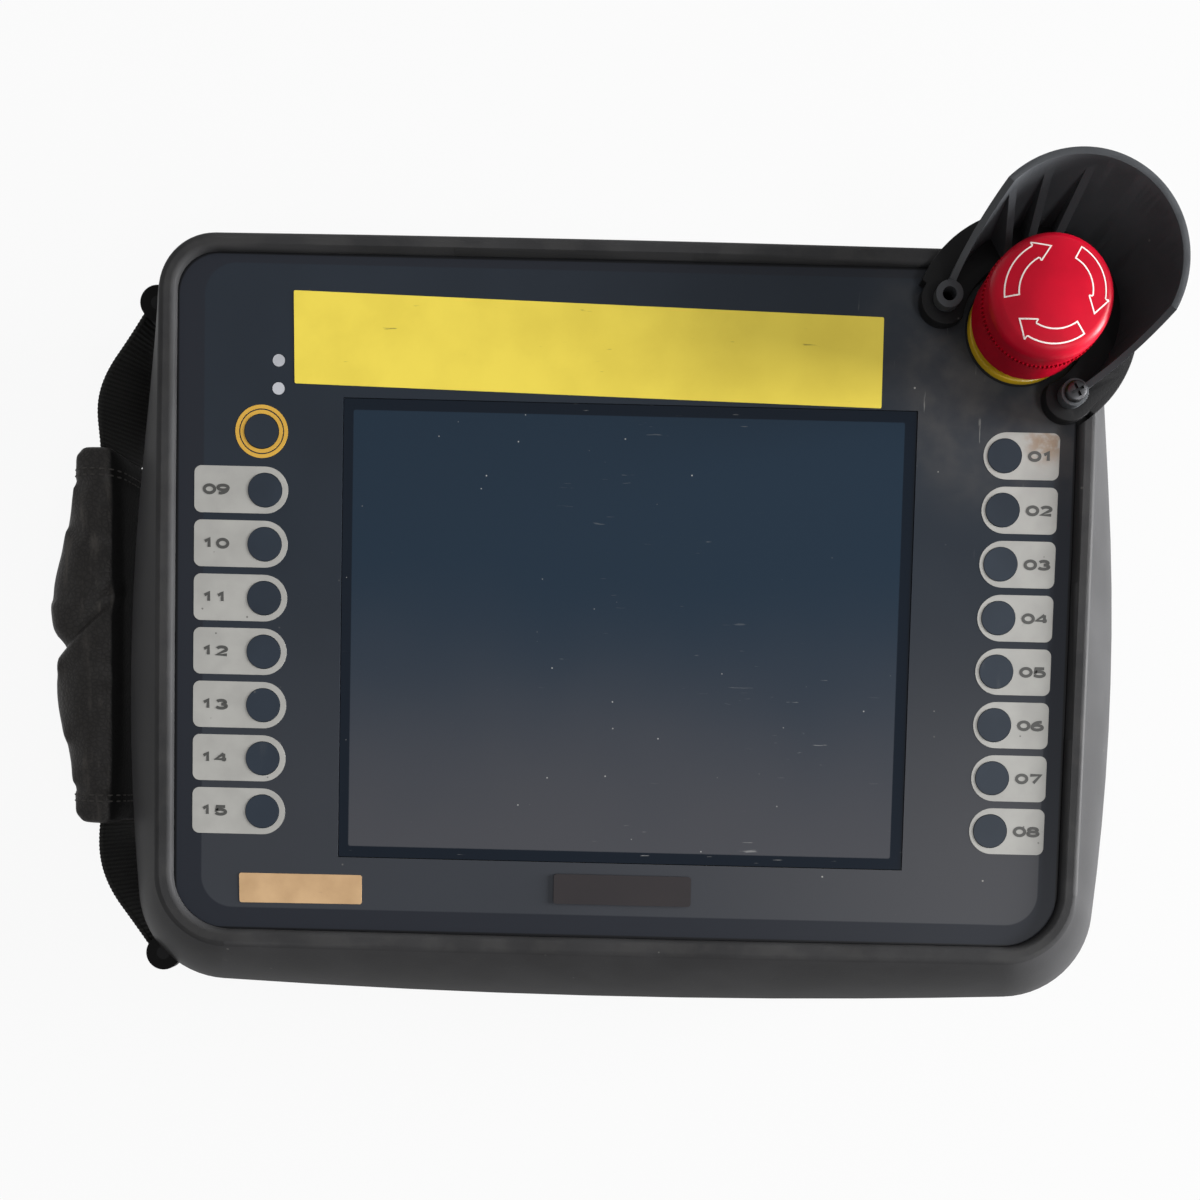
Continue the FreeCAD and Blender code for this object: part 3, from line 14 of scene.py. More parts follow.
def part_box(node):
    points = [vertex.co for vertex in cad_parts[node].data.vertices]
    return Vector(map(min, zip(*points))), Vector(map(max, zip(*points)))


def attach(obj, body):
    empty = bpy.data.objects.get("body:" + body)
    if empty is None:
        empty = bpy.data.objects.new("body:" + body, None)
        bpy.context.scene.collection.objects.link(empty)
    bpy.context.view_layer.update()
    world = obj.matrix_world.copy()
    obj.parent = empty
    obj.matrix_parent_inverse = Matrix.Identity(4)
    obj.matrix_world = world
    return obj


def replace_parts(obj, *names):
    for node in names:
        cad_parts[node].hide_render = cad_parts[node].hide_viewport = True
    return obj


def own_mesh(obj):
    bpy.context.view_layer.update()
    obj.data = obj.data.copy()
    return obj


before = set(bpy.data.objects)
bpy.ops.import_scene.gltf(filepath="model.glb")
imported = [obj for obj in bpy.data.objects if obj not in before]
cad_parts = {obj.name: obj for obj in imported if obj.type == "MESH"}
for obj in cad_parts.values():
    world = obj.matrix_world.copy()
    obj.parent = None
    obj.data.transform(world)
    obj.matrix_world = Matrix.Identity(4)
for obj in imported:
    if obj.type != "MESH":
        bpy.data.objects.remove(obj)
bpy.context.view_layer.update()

LOG = logging.getLogger("terminal")

Colour = tuple[float, float, float]
Point = tuple[float, float]
Band = tuple[float, float]
Number = Union[float, "Wire"]
Shape = bmesh.types.BMesh
Geometry = Iterable[Any]

# Shapes are modelled in millimetres and brought to the frame's metres when they become pieces
MM = 0.001
HOUSING = "housing"
PANEL_TOP = 50.0
INK_THICK = 0.05

FULL_TURN = 2 * math.pi
SMOOTH_ANGLE = math.radians(35)
SHARP_ANGLE = math.radians(40)
FLAT_ANGLE = math.radians(1)
WELD = 1e-3
TOUCH = 1e-5
TINY = 1e-6
ARC_STEP = 18.0
MITRE_LIMIT = 1.6
WITHIN = 0.98

WHITE_LIGHT: Colour = (1.0, 1.0, 1.0)
MOTTLE: Band = (0.3, 0.7)


def srgb(red: int, green: int, blue: int) -> Colour:
    """Turns a colour as seen on a screen, 0 to 255, into the shader's linear values.

    Args:
        red: Red share.
        green: Green share.
        blue: Blue share.

    Returns:
        The linear colour.
    """
    def linear(share: int) -> float:
        level = share / 255
        return level / 12.92 if level <= 0.04045 else ((level + 0.055) / 1.055) ** 2.4
    return linear(red), linear(green), linear(blue)


def shade(colour: Colour, share: float) -> Colour:
    """A colour made darker or lighter by a share, and no brighter than white."""
    return tuple(min(1.0, share * part) for part in colour)


class Wire:
    """A number on a shader socket, whose operators add Math nodes."""

    def __init__(self, nodes: "Nodes", socket: bpy.types.NodeSocket) -> None:
        """Keeps the socket and the tree it belongs to."""
        self.nodes = nodes
        self.socket = socket

    def _math(self, operation: str, first: Number, second: Number = 0.0) -> "Wire":
        """Adds one Math node on two values."""
        return self.nodes.wire("Math", {"operation": operation}, {0: first, 1: second})

    def __add__(self, other: Number) -> "Wire":
        """Sum."""
        return self._math("ADD", self, other)

    __radd__ = __add__

    def __sub__(self, other: Number) -> "Wire":
        """Difference."""
        return self._math("SUBTRACT", self, other)

    def __rsub__(self, other: Number) -> "Wire":
        """Difference from a number."""
        return self._math("SUBTRACT", other, self)

    def __mul__(self, other: Number) -> "Wire":
        """Product."""
        return self._math("MULTIPLY", self, other)

    def __pow__(self, other: Number) -> "Wire":
        """Power."""
        return self._math("POWER", self, other)

    def __abs__(self) -> "Wire":
        """Size without sign."""
        return self._math("ABSOLUTE", self)

    def most(self, other: Number) -> "Wire":
        """The larger of two values."""
        return self._math("MAXIMUM", self, other)

    def least(self, other: Number) -> "Wire":
        """The smaller of two values."""
        return self._math("MINIMUM", self, other)

    def sine(self) -> "Wire":
        """Sine of the value in radians."""
        return self._math("SINE", self)

    def step(self, low: float, high: float) -> "Wire":
        """A smooth step from 0 at low to 1 at high; with low above high it falls."""
        if low > high:
            return 1.0 - self.step(high, low)
        return self.nodes.wire("MapRange", {"interpolation_type": "SMOOTHSTEP"},
                               {"Value": self, "From Min": low, "From Max": high})


class Nodes:
    """Builds the nodes of one shader tree."""

    def __init__(self, tree: bpy.types.NodeTree) -> None:
        """Starts with an empty tree."""
        self.tree = tree
        self.tree.nodes.clear()

    def node(self, kind: str, settings: Optional[dict[str, Any]] = None,
             inputs: Optional[dict[Union[str, int], Any]] = None) -> bpy.types.Node:
        """Adds a node.

        Args:
            kind: The node's type without its ShaderNode prefix.
            settings: Properties, set before the sockets.
            inputs: Values, wires or sockets by the socket's name or number.

        Returns:
            The new node.
        """
        item = self.tree.nodes.new("ShaderNode" + kind)
        for key, setting in (settings or {}).items():
            setattr(item, key, setting)
        for key, given in (inputs or {}).items():
            self.feed(item.inputs[key], given)
        return item

    def feed(self, socket: bpy.types.NodeSocket, given: Any) -> None:
        """Links or sets one socket."""
        if isinstance(given, Wire):
            self.tree.links.new(given.socket, socket)
        elif isinstance(given, bpy.types.NodeSocket):
            self.tree.links.new(given, socket)
        elif isinstance(given, tuple) and len(given) == 3 and socket.type == "RGBA":
            socket.default_value = (*given, 1.0)
        else:
            socket.default_value = given

    def wire(self, kind: str, settings: Optional[dict[str, Any]] = None,
             inputs: Optional[dict[Union[str, int], Any]] = None) -> Wire:
        """Adds a node and returns its first output as a number."""
        return Wire(self, self.node(kind, settings, inputs).outputs[0])

    def seen(self) -> Wire:
        """One on the rays by which the camera, metal and glass see a surface, and nothing on the rest."""
        rays = self.node("LightPath").outputs
        camera, gloss, clear = (Wire(self, rays[name]) for name in
                                ("Is Camera Ray", "Is Glossy Ray", "Is Transmission Ray"))
        return camera.most(gloss).most(clear)


class Paint(Nodes):
    """Builds one material's nodes."""

    def __init__(self, name: str) -> None:
        """Starts a material with a shader and nothing else."""
        self.material = bpy.data.materials.new(name)
        self.material.use_nodes = True
        super().__init__(self.material.node_tree)
        self.surface = self.node("BsdfPrincipled")
        self.output = self.node("OutputMaterial", None, {"Surface": self.surface.outputs[0]})
        self._place: Optional[bpy.types.NodeSocket] = None

    def place(self) -> bpy.types.NodeSocket:
        """The place on the piece in millimetres of the shared frame."""
        if self._place is None:
            spot = self.node("TexCoord").outputs["Object"]
            scaled = self.node("VectorMath", {"operation": "SCALE"}, {0: spot, "Scale": 1 / MM})
            self._place = scaled.outputs[0]
        return self._place

    def axes(self) -> tuple[Wire, Wire, Wire]:
        """The three coordinates of the place, in millimetres."""
        split = self.node("SeparateXYZ", None, {0: self.place()})
        return tuple(Wire(self, socket) for socket in split.outputs)

    def stretched(self, size: float, stretch: Sequence[float]) -> bpy.types.NodeSocket:
        """The place in units of a pattern's size, which may be longer along some axes."""
        scale = tuple(1 / (size * share) for share in stretch)
        return self.node("Mapping", None, {"Vector": self.place(), "Scale": scale}).outputs[0]

    def noise(self, size: float, detail: float = 3.0, stretch: Sequence[float] = (1, 1, 1)) -> Wire:
        """Cloudy noise from 0 to 1.

        Args:
            size: Size of one cloud in millimetres.
            detail: Finer layers.
            stretch: How much longer the clouds are along each axis.

        Returns:
            The noise.
        """
        spot = self.stretched(size, stretch)
        return self.wire("TexNoise", None, {"Vector": spot, "Scale": 1.0, "Detail": detail})

    def cells(self, size: float, stretch: Sequence[float] = (1, 1, 1), feature: str = "F1") -> Wire:
        """Distance in a cell pattern, in shares of the cell's size."""
        spot = self.stretched(size, stretch)
        return self.wire("TexVoronoi", {"feature": feature}, {"Vector": spot, "Scale": 1.0})

    def specks(self, size: float, dot: Band, patch: float, gate: Band) -> Wire:
        """Small dots that lie in patches.

        Args:
            size: Distance between dots in millimetres.
            dot: Shares of that distance at which a dot ends and is full.
            patch: Size of a patch in millimetres.
            gate: Levels of the noise at which a patch starts and is full.

        Returns:
            One in the dots and nothing between them.
        """
        return self.cells(size).step(*dot) * self.noise(patch, detail=2.0).step(*gate)

    def blend(self, share: Number, first: Any, second: Any) -> bpy.types.NodeSocket:
        """Mixes two colours."""
        mixed = self.node("Mix", {"data_type": "RGBA"}, {0: share, 6: first, 7: second})
        return mixed.outputs[2]

    def mottle(self, share: Number, colour: Colour, start: float, end: float) -> bpy.types.NodeSocket:
        """Mixes two shades of a colour, each given as a share of its brightness."""
        return self.blend(share, shade(colour, start), shade(colour, end))

    def relief(self, height: Wire, depth: float, strength: float = 1.0) -> bpy.types.NodeSocket:
        """A bump of a depth in millimetres."""
        bump = self.node("Bump", None, {"Strength": strength, "Distance": depth * MM, "Height": height})
        return bump.outputs[0]

    def away(self, spot: Point) -> Wire:
        """Distance in millimetres from a spot, seen from above."""
        x, y, _ = self.axes()
        return ((x - spot[0]) ** 2.0 + (y - spot[1]) ** 2.0) ** 0.5

    def rounded(self, centre: Point, half: Point, radius: float) -> Wire:
        """Distance in millimetres from a rounded rectangle in the panel's plane, negative inside it."""
        x, y, _ = self.axes()
        across = abs(x - centre[0]) - (half[0] - radius)
        up = abs(y - centre[1]) - (half[1] - radius)
        outside = (across.most(0.0) ** 2.0 + up.most(0.0) ** 2.0) ** 0.5
        return outside + across.most(up).least(0.0) - radius

    def done(self, **sockets: Any) -> bpy.types.Material:
        """Sets the shader's sockets, with underscores for the spaces of their names."""
        for name, given in sockets.items():
            self.feed(self.surface.inputs[name.replace("_", " ").title().replace("Ior", "IOR")], given)
        return self.material


@dataclass(frozen=True)
class Finish:
    """What every finish has: a name and a way to make its material once."""

    name: str

    def paint(self, paint: Paint) -> bpy.types.Material:
        """Fills the material's nodes."""
        raise NotImplementedError

    def material(self) -> bpy.types.Material:
        """The finish's material, made when it is first asked for."""
        made = bpy.data.materials.get(self.name)
        return made if made else self.paint(Paint(self.name))


@dataclass(frozen=True)
class Moulded(Finish):
    """Moulded plastic: fine spark-eroded grain, faint mottling, pale scuffs and dust specks, pale wear that
    is also a painted highlight on a crest where one is given, and painted shade round given places.
    """

    colour: Colour
    scuff: Colour = srgb(120, 118, 114)
    scuffs: float = 0.12
    dust: float = 0.5
    rough: float = 0.46
    cloud_rough: float = 0.16
    worn_rough: float = 0.12
    grain: float = 0.55
    grain_depth: float = 0.05
    grain_strength: float = 0.6
    shine: float = 0.25
    crest: Optional[float] = None
    crest_depth: float = 0.5
    crest_wear_and_highlight: float = 0.05
    # Colour of the painted shade round the shaded places.
    dark: Colour = srgb(22, 22, 22)
    painted_shade_places: tuple[Point, ...] = ()
    painted_shade_reach: Band = (6.4, 5.4)

    def paint(self, paint: Paint) -> bpy.types.Material:
        """Mottles the colour, lays scuffs and specks over it, then paints shade round the given places."""
        cloud = paint.noise(size=24.0, detail=4.0)
        tone = paint.mottle(cloud.step(*MOTTLE), self.colour, start=0.86, end=1.14)
        streaks = paint.noise(size=3.0, detail=6.0, stretch=(1.0, 6.0, 1.0)).step(low=0.62, high=0.78)
        streaks = streaks * cloud.step(low=0.45, high=0.7)
        specks = paint.specks(size=7.0, dot=(0.07, 0.03), patch=15.0, gate=(0.52, 0.6))
        wear_and_highlight = (streaks * self.scuffs).most(specks * self.dust)
        # Pale wear on the bead's crest, which is also a painted highlight there.
        if self.crest is not None:
            _, _, z = paint.axes()
            rub = paint.noise(size=9.0, detail=5.0).step(low=0.42, high=0.62)
            wear_and_highlight = wear_and_highlight.most(z.step(self.crest - self.crest_depth, self.crest) * rub * self.crest_wear_and_highlight)
        tone = paint.blend(wear_and_highlight, tone, self.scuff)
        # Painted shade: the colour goes near black round each shaded place.
        for spot in self.painted_shade_places:
            tone = paint.blend(paint.away(spot).step(*self.painted_shade_reach), tone, self.dark)
        grain = paint.noise(self.grain, detail=2.0)
        return paint.done(base_color=tone,
                          specular_ior_level=self.shine,
                          roughness=self.rough + (cloud - 0.5) * self.cloud_rough + wear_and_highlight * self.worn_rough,
                          normal=paint.relief(grain, self.grain_depth, self.grain_strength))


@dataclass(frozen=True)
class Film(Finish):
    """The printed sheet: a border, a bluer inner field, a painted reflection that greys its foot and dirt by
    the stop button.
    """

    border: Colour
    field_colour: Colour
    haze_and_painted_reflection: Colour
    dirt: Colour
    scratched: Colour = srgb(190, 188, 182)
    edge: Colour = srgb(16, 17, 20)
    field_centre: Point = (1.0, 10.6)
    field_half: Point = (119.0, 89.8)
    field_corner: float = 9.0
    sheet_centre: Point = (0.0, 8.95)
    sheet_half: Point = (125.75, 94.5)
    sheet_corner: float = 12.0
    reflection_rise: Band = (30.0, -65.0)
    reflection_side: Band = (-40.0, 120.0)
    dirty_spot: Point = (108.0, 78.0)
    cloud_share: float = 0.35
    grime_share: float = 0.45
    scratch_share: float = 0.3
    dust_share: float = 0.55
    grime_rough: float = 0.2
    cloud_rough: float = 0.1
    rough: float = 0.42
    shine: float = 0.15

    def paint(self, paint: Paint) -> bpy.types.Material:
        """Prints the field by its distance from the sheet's edge, greys its foot with a painted reflection,
        then dirties the corner.
        """
        inner = paint.rounded(self.field_centre, self.field_half, self.field_corner)
        inner = inner.step(low=0.25, high=-0.25)
        cloud = paint.noise(size=40.0, detail=3.0)
        x, y, _ = paint.axes()
        tone = paint.mottle(cloud.step(*MOTTLE) * self.cloud_share, self.field_colour, start=1.0, end=1.35)
        # Painted reflection: the field greys towards its foot, and more so to the right.
        tone = paint.blend(y.step(*self.reflection_rise) * (x.step(*self.reflection_side) * 0.5 + 0.5), tone, self.haze_and_painted_reflection)
        tone = paint.blend(inner, self.border, tone)
        corner = paint.away(self.dirty_spot)
        smear = paint.noise(size=11.0, detail=6.0).step(low=0.36, high=0.72)
        grime = corner.step(low=52.0, high=18.0) * (smear * 0.7 + 0.3)
        scratch = paint.noise(size=1.6, detail=4.0, stretch=(1.0, 9.0, 1.0)).step(low=0.66, high=0.74)
        scratch = scratch * corner.step(low=60.0, high=20.0)
        dust = paint.specks(size=6.0, dot=(0.06, 0.025), patch=13.0, gate=(0.5, 0.58))
        tone = paint.blend(grime * self.grime_share, tone, self.dirt)
        marks = (scratch * self.scratch_share).most(dust * self.dust_share)
        tone = paint.blend(marks, tone, self.scratched)
        rim = paint.rounded(self.sheet_centre, self.sheet_half, self.sheet_corner)
        tone = paint.blend(rim.step(low=-0.9, high=-0.5), tone, self.edge)
        orange_peel = paint.noise(size=0.5, detail=2.0)
        dull = self.rough + grime * self.grime_rough + (cloud - 0.5) * self.cloud_rough
        return paint.done(base_color=tone, roughness=dull, specular_ior_level=self.shine,
                          normal=paint.relief(orange_peel, depth=0.02, strength=0.5))


@dataclass(frozen=True)
class Ink(Finish):
    """Printed ink with faint wear, pin-holes and a stain where one is given."""

    colour: Colour
    holes: Colour = srgb(70, 70, 68)
    holes_share: float = 0.8
    stain: Colour = srgb(132, 108, 84)
    stain_share: float = 0.85
    stain_place: Optional[Point] = None
    rough: float = 0.5
    cloud_rough: float = 0.1

    def paint(self, paint: Paint) -> bpy.types.Material:
        """Clouds the ink, pricks it and stains it."""
        cloud = paint.noise(size=9.0, detail=4.0)
        tone = paint.mottle(cloud.step(low=0.25, high=0.75), self.colour, start=0.9, end=1.06)
        holes = paint.specks(size=3.4, dot=(0.1, 0.06), patch=8.0, gate=(0.54, 0.6))
        tone = paint.blend(holes * self.holes_share, tone, self.holes)
        if self.stain_place is not None:
            soiled = paint.noise(size=2.6, detail=6.0).step(low=0.3, high=0.62)
            soiled = paint.away(self.stain_place).step(low=9.0, high=2.0) * soiled
            tone = paint.blend(soiled * self.stain_share, tone, self.stain)
        return paint.done(base_color=tone, roughness=self.rough + cloud * self.cloud_rough)


@dataclass(frozen=True)
class Sticker(Finish):
    """A bare label: clouded colour, soiled patches and a few dark scratches."""

    colour: Colour
    soil: Colour
    soil_share: float = 0.35
    rough: float = 0.4
    shine: float = 0.2
    mark: Colour = srgb(60, 56, 44)
    mark_share: float = 0.6
    fine_rough: float = 0.12

    def paint(self, paint: Paint) -> bpy.types.Material:
        """Clouds and soils the label's face."""
        cloud = paint.noise(size=16.0, detail=5.0)
        fine = paint.noise(size=2.2, detail=5.0)
        tone = paint.blend(cloud.step(low=0.3, high=0.75) * self.soil_share, self.colour, self.soil)
        marks = paint.noise(size=1.1, detail=5.0, stretch=(7.0, 1.0, 1.0)).step(low=0.68, high=0.76)
        marks = marks * cloud.step(low=0.48, high=0.6)
        tone = paint.blend(marks * self.mark_share, tone, self.mark)
        return paint.done(base_color=tone, roughness=self.rough + fine * self.fine_rough,
                          specular_ior_level=self.shine,
                          normal=paint.relief(fine, depth=0.02, strength=0.4))


@dataclass(frozen=True)
class Screen(Finish):
    """Dark display glass: a printed black border, a navy field that greys towards its foot as a painted
    reflection, and dust.
    """

    border: Colour
    upper: Colour
    lower: Colour
    dusty: Colour = srgb(200, 200, 198)
    centre: Point = (0.7, 0.0)
    half: Point = (77.0, 61.0)
    corner: float = 0.6
    reflection_fall: Band = (20.0, -66.0)
    reflection_waver: float = 30.0
    dust_share: float = 0.6
    hair_share: float = 0.25
    haze_rough: float = 0.08
    dust_rough: float = 0.3
    rough: float = 0.16
    shine: float = 0.2

    def paint(self, paint: Paint) -> bpy.types.Material:
        """Prints the border and greys the field towards its foot with a painted reflection."""
        _, y, _ = paint.axes()
        view = paint.rounded(self.centre, self.half, self.corner).step(low=0.15, high=-0.15)
        haze_and_painted_reflection = paint.noise(size=60.0, detail=2.0)
        # Painted reflection: the field goes from the upper colour to the grey lower colour towards its foot,
        # with a wavering edge.
        reflection_fall = (y + (haze_and_painted_reflection - 0.5) * self.reflection_waver).step(*self.reflection_fall)
        tone = paint.blend(view, self.border, paint.blend(reflection_fall, self.upper, self.lower))
        dust = paint.specks(size=5.0, dot=(0.055, 0.02), patch=12.0, gate=(0.5, 0.57))
        hair = paint.noise(size=0.9, detail=3.0, stretch=(9.0, 1.0, 1.0)).step(low=0.71, high=0.76)
        hair = hair * haze_and_painted_reflection.step(low=0.45, high=0.65)
        tone = paint.blend((dust * self.dust_share).most(hair * self.hair_share), tone, self.dusty)
        return paint.done(base_color=tone, specular_ior_level=self.shine,
                          roughness=self.rough + haze_and_painted_reflection * self.haze_rough + dust * self.dust_rough)


@dataclass(frozen=True)
class Gloss(Finish):
    """Glossy plastic with a soft clouding and hair scratches."""

    colour: Colour
    rough: float = 0.24
    coat: float = 0.5
    shine: float = 0.5
    hair_rough: float = 0.16
    cloud_rough: float = 0.06

    def paint(self, paint: Paint) -> bpy.types.Material:
        """Clouds the colour and dulls it in streaks."""
        cloud = paint.noise(size=12.0, detail=4.0)
        hair = paint.noise(size=0.8, detail=4.0, stretch=(1.0, 8.0, 3.0)).step(low=0.64, high=0.74)
        waves = paint.noise(size=1.4, detail=2.0)
        tone = paint.mottle(cloud.step(*MOTTLE), self.colour, start=0.88, end=1.08)
        return paint.done(base_color=tone, coat_weight=self.coat, specular_ior_level=self.shine,
                          roughness=self.rough + hair * self.hair_rough + cloud * self.cloud_rough,
                          normal=paint.relief(waves, depth=0.02, strength=0.3))


@dataclass(frozen=True)
class Metal(Finish):
    """Bare or plated metal with fine drawn lines."""

    colour: Colour
    rough: float = 0.34
    lines: tuple[float, float, float] = (8.0, 1.0, 1.0)
    drawn_rough: float = 0.16
    cloud_share: float = 0.5

    def paint(self, paint: Paint) -> bpy.types.Material:
        """Draws the lines into roughness and relief, and clouds the colour."""
        drawn = paint.noise(size=0.5, detail=3.0, stretch=self.lines)
        cloud = paint.noise(size=14.0, detail=3.0)
        tone = paint.mottle(cloud.step(*MOTTLE) * self.cloud_share, self.colour, start=1.0, end=0.72)
        return paint.done(base_color=tone, metallic=1.0, roughness=self.rough + drawn * self.drawn_rough,
                          normal=paint.relief(drawn, depth=0.01, strength=0.4))


@dataclass(frozen=True)
class Leather(Finish):
    """Worn black leather with a pebbled grain and grey rubbed streaks, with painted shade in the grain's
    grooves and near-black painted shade on the side that faces the housing.
    """

    colour: Colour
    rubbed: Colour
    rubbed_share: float = 0.4
    painted_shade: Colour = srgb(5, 5, 5)
    painted_shade_x: Band = (-154.2, -153.2)
    pebble_height: float = 0.6
    wrinkle_height: float = 0.9
    rub_rough: float = 0.14
    cloud_rough: float = 0.14
    rough: float = 0.5
    shine: float = 0.2

    def paint(self, paint: Paint) -> bpy.types.Material:
        """Pebbles the surface, rubs it along its length and paints the side that faces the housing near
        black, as painted shade.
        """
        pebbles = paint.cells(size=1.3, feature="DISTANCE_TO_EDGE")
        wrinkle = paint.noise(size=6.0, detail=6.0, stretch=(1.0, 2.4, 1.0))
        cloud = paint.noise(size=18.0, detail=4.0)
        rub = paint.noise(size=2.4, detail=5.0, stretch=(1.0, 7.0, 1.0)).step(low=0.52, high=0.72)
        rub = rub * cloud.step(low=0.4, high=0.66)
        # Painted shade: the grain's grooves are darker than the pebbles.
        tone = paint.mottle(pebbles.step(low=0.02, high=0.2), self.colour, start=0.6, end=1.0)
        tone = paint.blend(rub * self.rubbed_share, tone, self.rubbed)
        x, _, _ = paint.axes()
        # Painted shade: the side that faces the housing goes near black and fully rough.
        inside = x.step(*self.painted_shade_x)
        tone = paint.blend(inside, tone, self.painted_shade)
        height = pebbles.step(low=0.0, high=0.3) * self.pebble_height + wrinkle * self.wrinkle_height
        dull = self.rough + rub * self.rub_rough + (cloud - 0.5) * self.cloud_rough
        return paint.done(base_color=tone, roughness=dull.most(inside), specular_ior_level=self.shine,
                          normal=paint.relief(height, depth=0.18, strength=0.6))


@dataclass(frozen=True)
class Weave(Finish):
    """Woven webbing: cross ribs along its length with finer yarns across them."""

    colour: Colour
    rib: float = 1.25
    yarn: float = 0.625
    waver: float = 1.2
    yarn_share: float = 0.3
    fuzz_rough: float = 0.14
    rough: float = 0.72
    shine: float = 0.2

    def paint(self, paint: Paint) -> bpy.types.Material:
        """Ribs the band along Y and Z, with painted shade in the grooves and a painted highlight on the ribs.
        """
        _, y, z = paint.axes()
        fuzz = paint.noise(size=0.5, detail=3.0)
        ribs = (y * (FULL_TURN / self.rib) + fuzz * self.waver).sine() * 0.5 + 0.5
        yarns = (z * (FULL_TURN / self.yarn) + fuzz).sine() * 0.5 + 0.5
        height = ribs * (1 - self.yarn_share) + yarns * ribs * self.yarn_share
        # Painted shade and highlight: the colour follows the ribs' height, darker in the grooves and lighter
        # on top.
        tone = paint.mottle(height, self.colour, start=0.45, end=1.5)
        return paint.done(base_color=tone, roughness=self.rough + fuzz * self.fuzz_rough,
                          specular_ior_level=self.shine,
                          normal=paint.relief(height, depth=0.3, strength=0.9))


@dataclass(frozen=True)
class Lacquer(Finish):
    """Circuit board lacquer with the faint lines of the tracks below it."""

    colour: Colour
    rough: float = 0.32
    track_rough: float = 0.08

    def paint(self, paint: Paint) -> bpy.types.Material:
        """Lays straight tracks under the lacquer."""
        tracks = paint.cells(size=3.0, stretch=(1.0, 5.0, 1.0), feature="DISTANCE_TO_EDGE")
        tracks = tracks.step(low=0.05, high=0.12)
        tone = paint.mottle(tracks, self.colour, start=1.5, end=1.0)
        return paint.done(base_color=tone, roughness=self.rough + tracks * self.track_rough,
                          normal=paint.relief(tracks, depth=0.03, strength=0.4))


# The shell's shaded places are painted shade at the strap's two lugs, and its crest wear is also a painted
# highlight on the bead.
SHELL = Moulded("shell_plastic", srgb(54, 54, 55), shine=0.04, crest=52.0,
                painted_shade_places=((-140.0, 97.7), (-137.4, -96.4)))
HOOD = Moulded("hood_plastic", srgb(68, 70, 73), scuffs=0.2, rough=0.42, shine=0.2)
BLACK = Moulded("black_plastic", srgb(24, 24, 25), scuffs=0.15, rough=0.5, shine=0.12)
RUBBER = Moulded("black_rubber", srgb(24, 24, 24), scuffs=0.05, rough=0.7)
KEY_CAP = Moulded("key_film", srgb(35, 43, 53), scuffs=0.1, rough=0.44, grain_depth=0.02)
# The grey that the sheet takes at its foot is a painted reflection.
SHEET = Film("panel_film", border=srgb(34, 37, 44), field_colour=srgb(35, 41, 49), haze_and_painted_reflection=srgb(64, 65, 69),
             dirt=srgb(92, 88, 84))
FRAME_INK = Ink("frame_ink", srgb(160, 159, 155), stain_place=(117.5, 57.0))
NUMERAL_INK = Ink("numeral_ink", srgb(66, 66, 64))
RING_INK = Ink("ring_ink", srgb(206, 160, 58))
ARROW_INK = Ink("arrow_ink", srgb(238, 226, 222))
LENS = Gloss("lens_plastic", srgb(176, 178, 184), rough=0.3)
YELLOW_LABEL = Sticker("yellow_label", srgb(233, 211, 82), soil=srgb(200, 177, 62), soil_share=0.3)
TAN_LABEL = Sticker("tan_label", srgb(202, 168, 128), soil=srgb(150, 118, 82), soil_share=0.55, rough=0.6)
DARK_PLATE = Sticker("dark_plate", srgb(42, 39, 41), soil=srgb(50, 45, 46), soil_share=0.4, rough=0.5)
# The glass's lower grey is a painted reflection.
GLASS = Screen("screen_glass", border=srgb(7, 18, 30), upper=srgb(26, 42, 57), lower=srgb(66, 67, 72))
RED = Gloss("head_red_plastic", srgb(182, 6, 36), rough=0.32, coat=0.0, shine=0.14)
YELLOW = Gloss("collar_yellow_plastic", srgb(222, 180, 22), rough=0.35, coat=0.2)
STEEL = Metal("drawn_steel", srgb(150, 150, 150))
SCREW = Metal("dark_screw", srgb(70, 70, 72), rough=0.3)
ALLOY = Metal("plain_alloy", srgb(190, 190, 194), rough=0.4)
BOARD = Lacquer("board_lacquer", srgb(24, 92, 54))
WHITE = Moulded("white_plastic", srgb(214, 214, 208), scuffs=0.1)
PAD = Leather("pad_leather", srgb(37, 35, 34), rubbed=srgb(92, 88, 84))
THREAD = Moulded("pad_thread", srgb(58, 56, 54), scuffs=0.1, rough=0.8)
WEBBING = Weave("webbing_weave", srgb(24, 24, 23))


def box_of(node: str) -> tuple[Vector, Vector]:
    """Low and high corner of a CAD node's box, in millimetres."""
    low, high = (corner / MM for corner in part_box(node))
    return low, high


def put(name: str, data: Any) -> bpy.types.Object:
    """Adds an object to the scene."""
    item = bpy.data.objects.new(name, data)
    bpy.context.scene.collection.objects.link(item)
    return item


def dress(finish: Finish, *nodes: str) -> None:
    """Gives CAD nodes a finish.

    Args:
        finish: The finish.
        nodes: Names of the nodes.
    """
    for name in nodes:
        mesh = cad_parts[name].data
        mesh.materials.clear()
        mesh.materials.append(finish.material())


def to_metres(shape: Shape, name: str) -> bpy.types.Mesh:
    """Turns a shape in millimetres, which is used up, into a mesh in metres."""
    bmesh.ops.scale(shape, vec=(MM, MM, MM), verts=shape.verts)
    mesh = bpy.data.meshes.new(name)
    shape.to_mesh(mesh)
    shape.free()
    return mesh


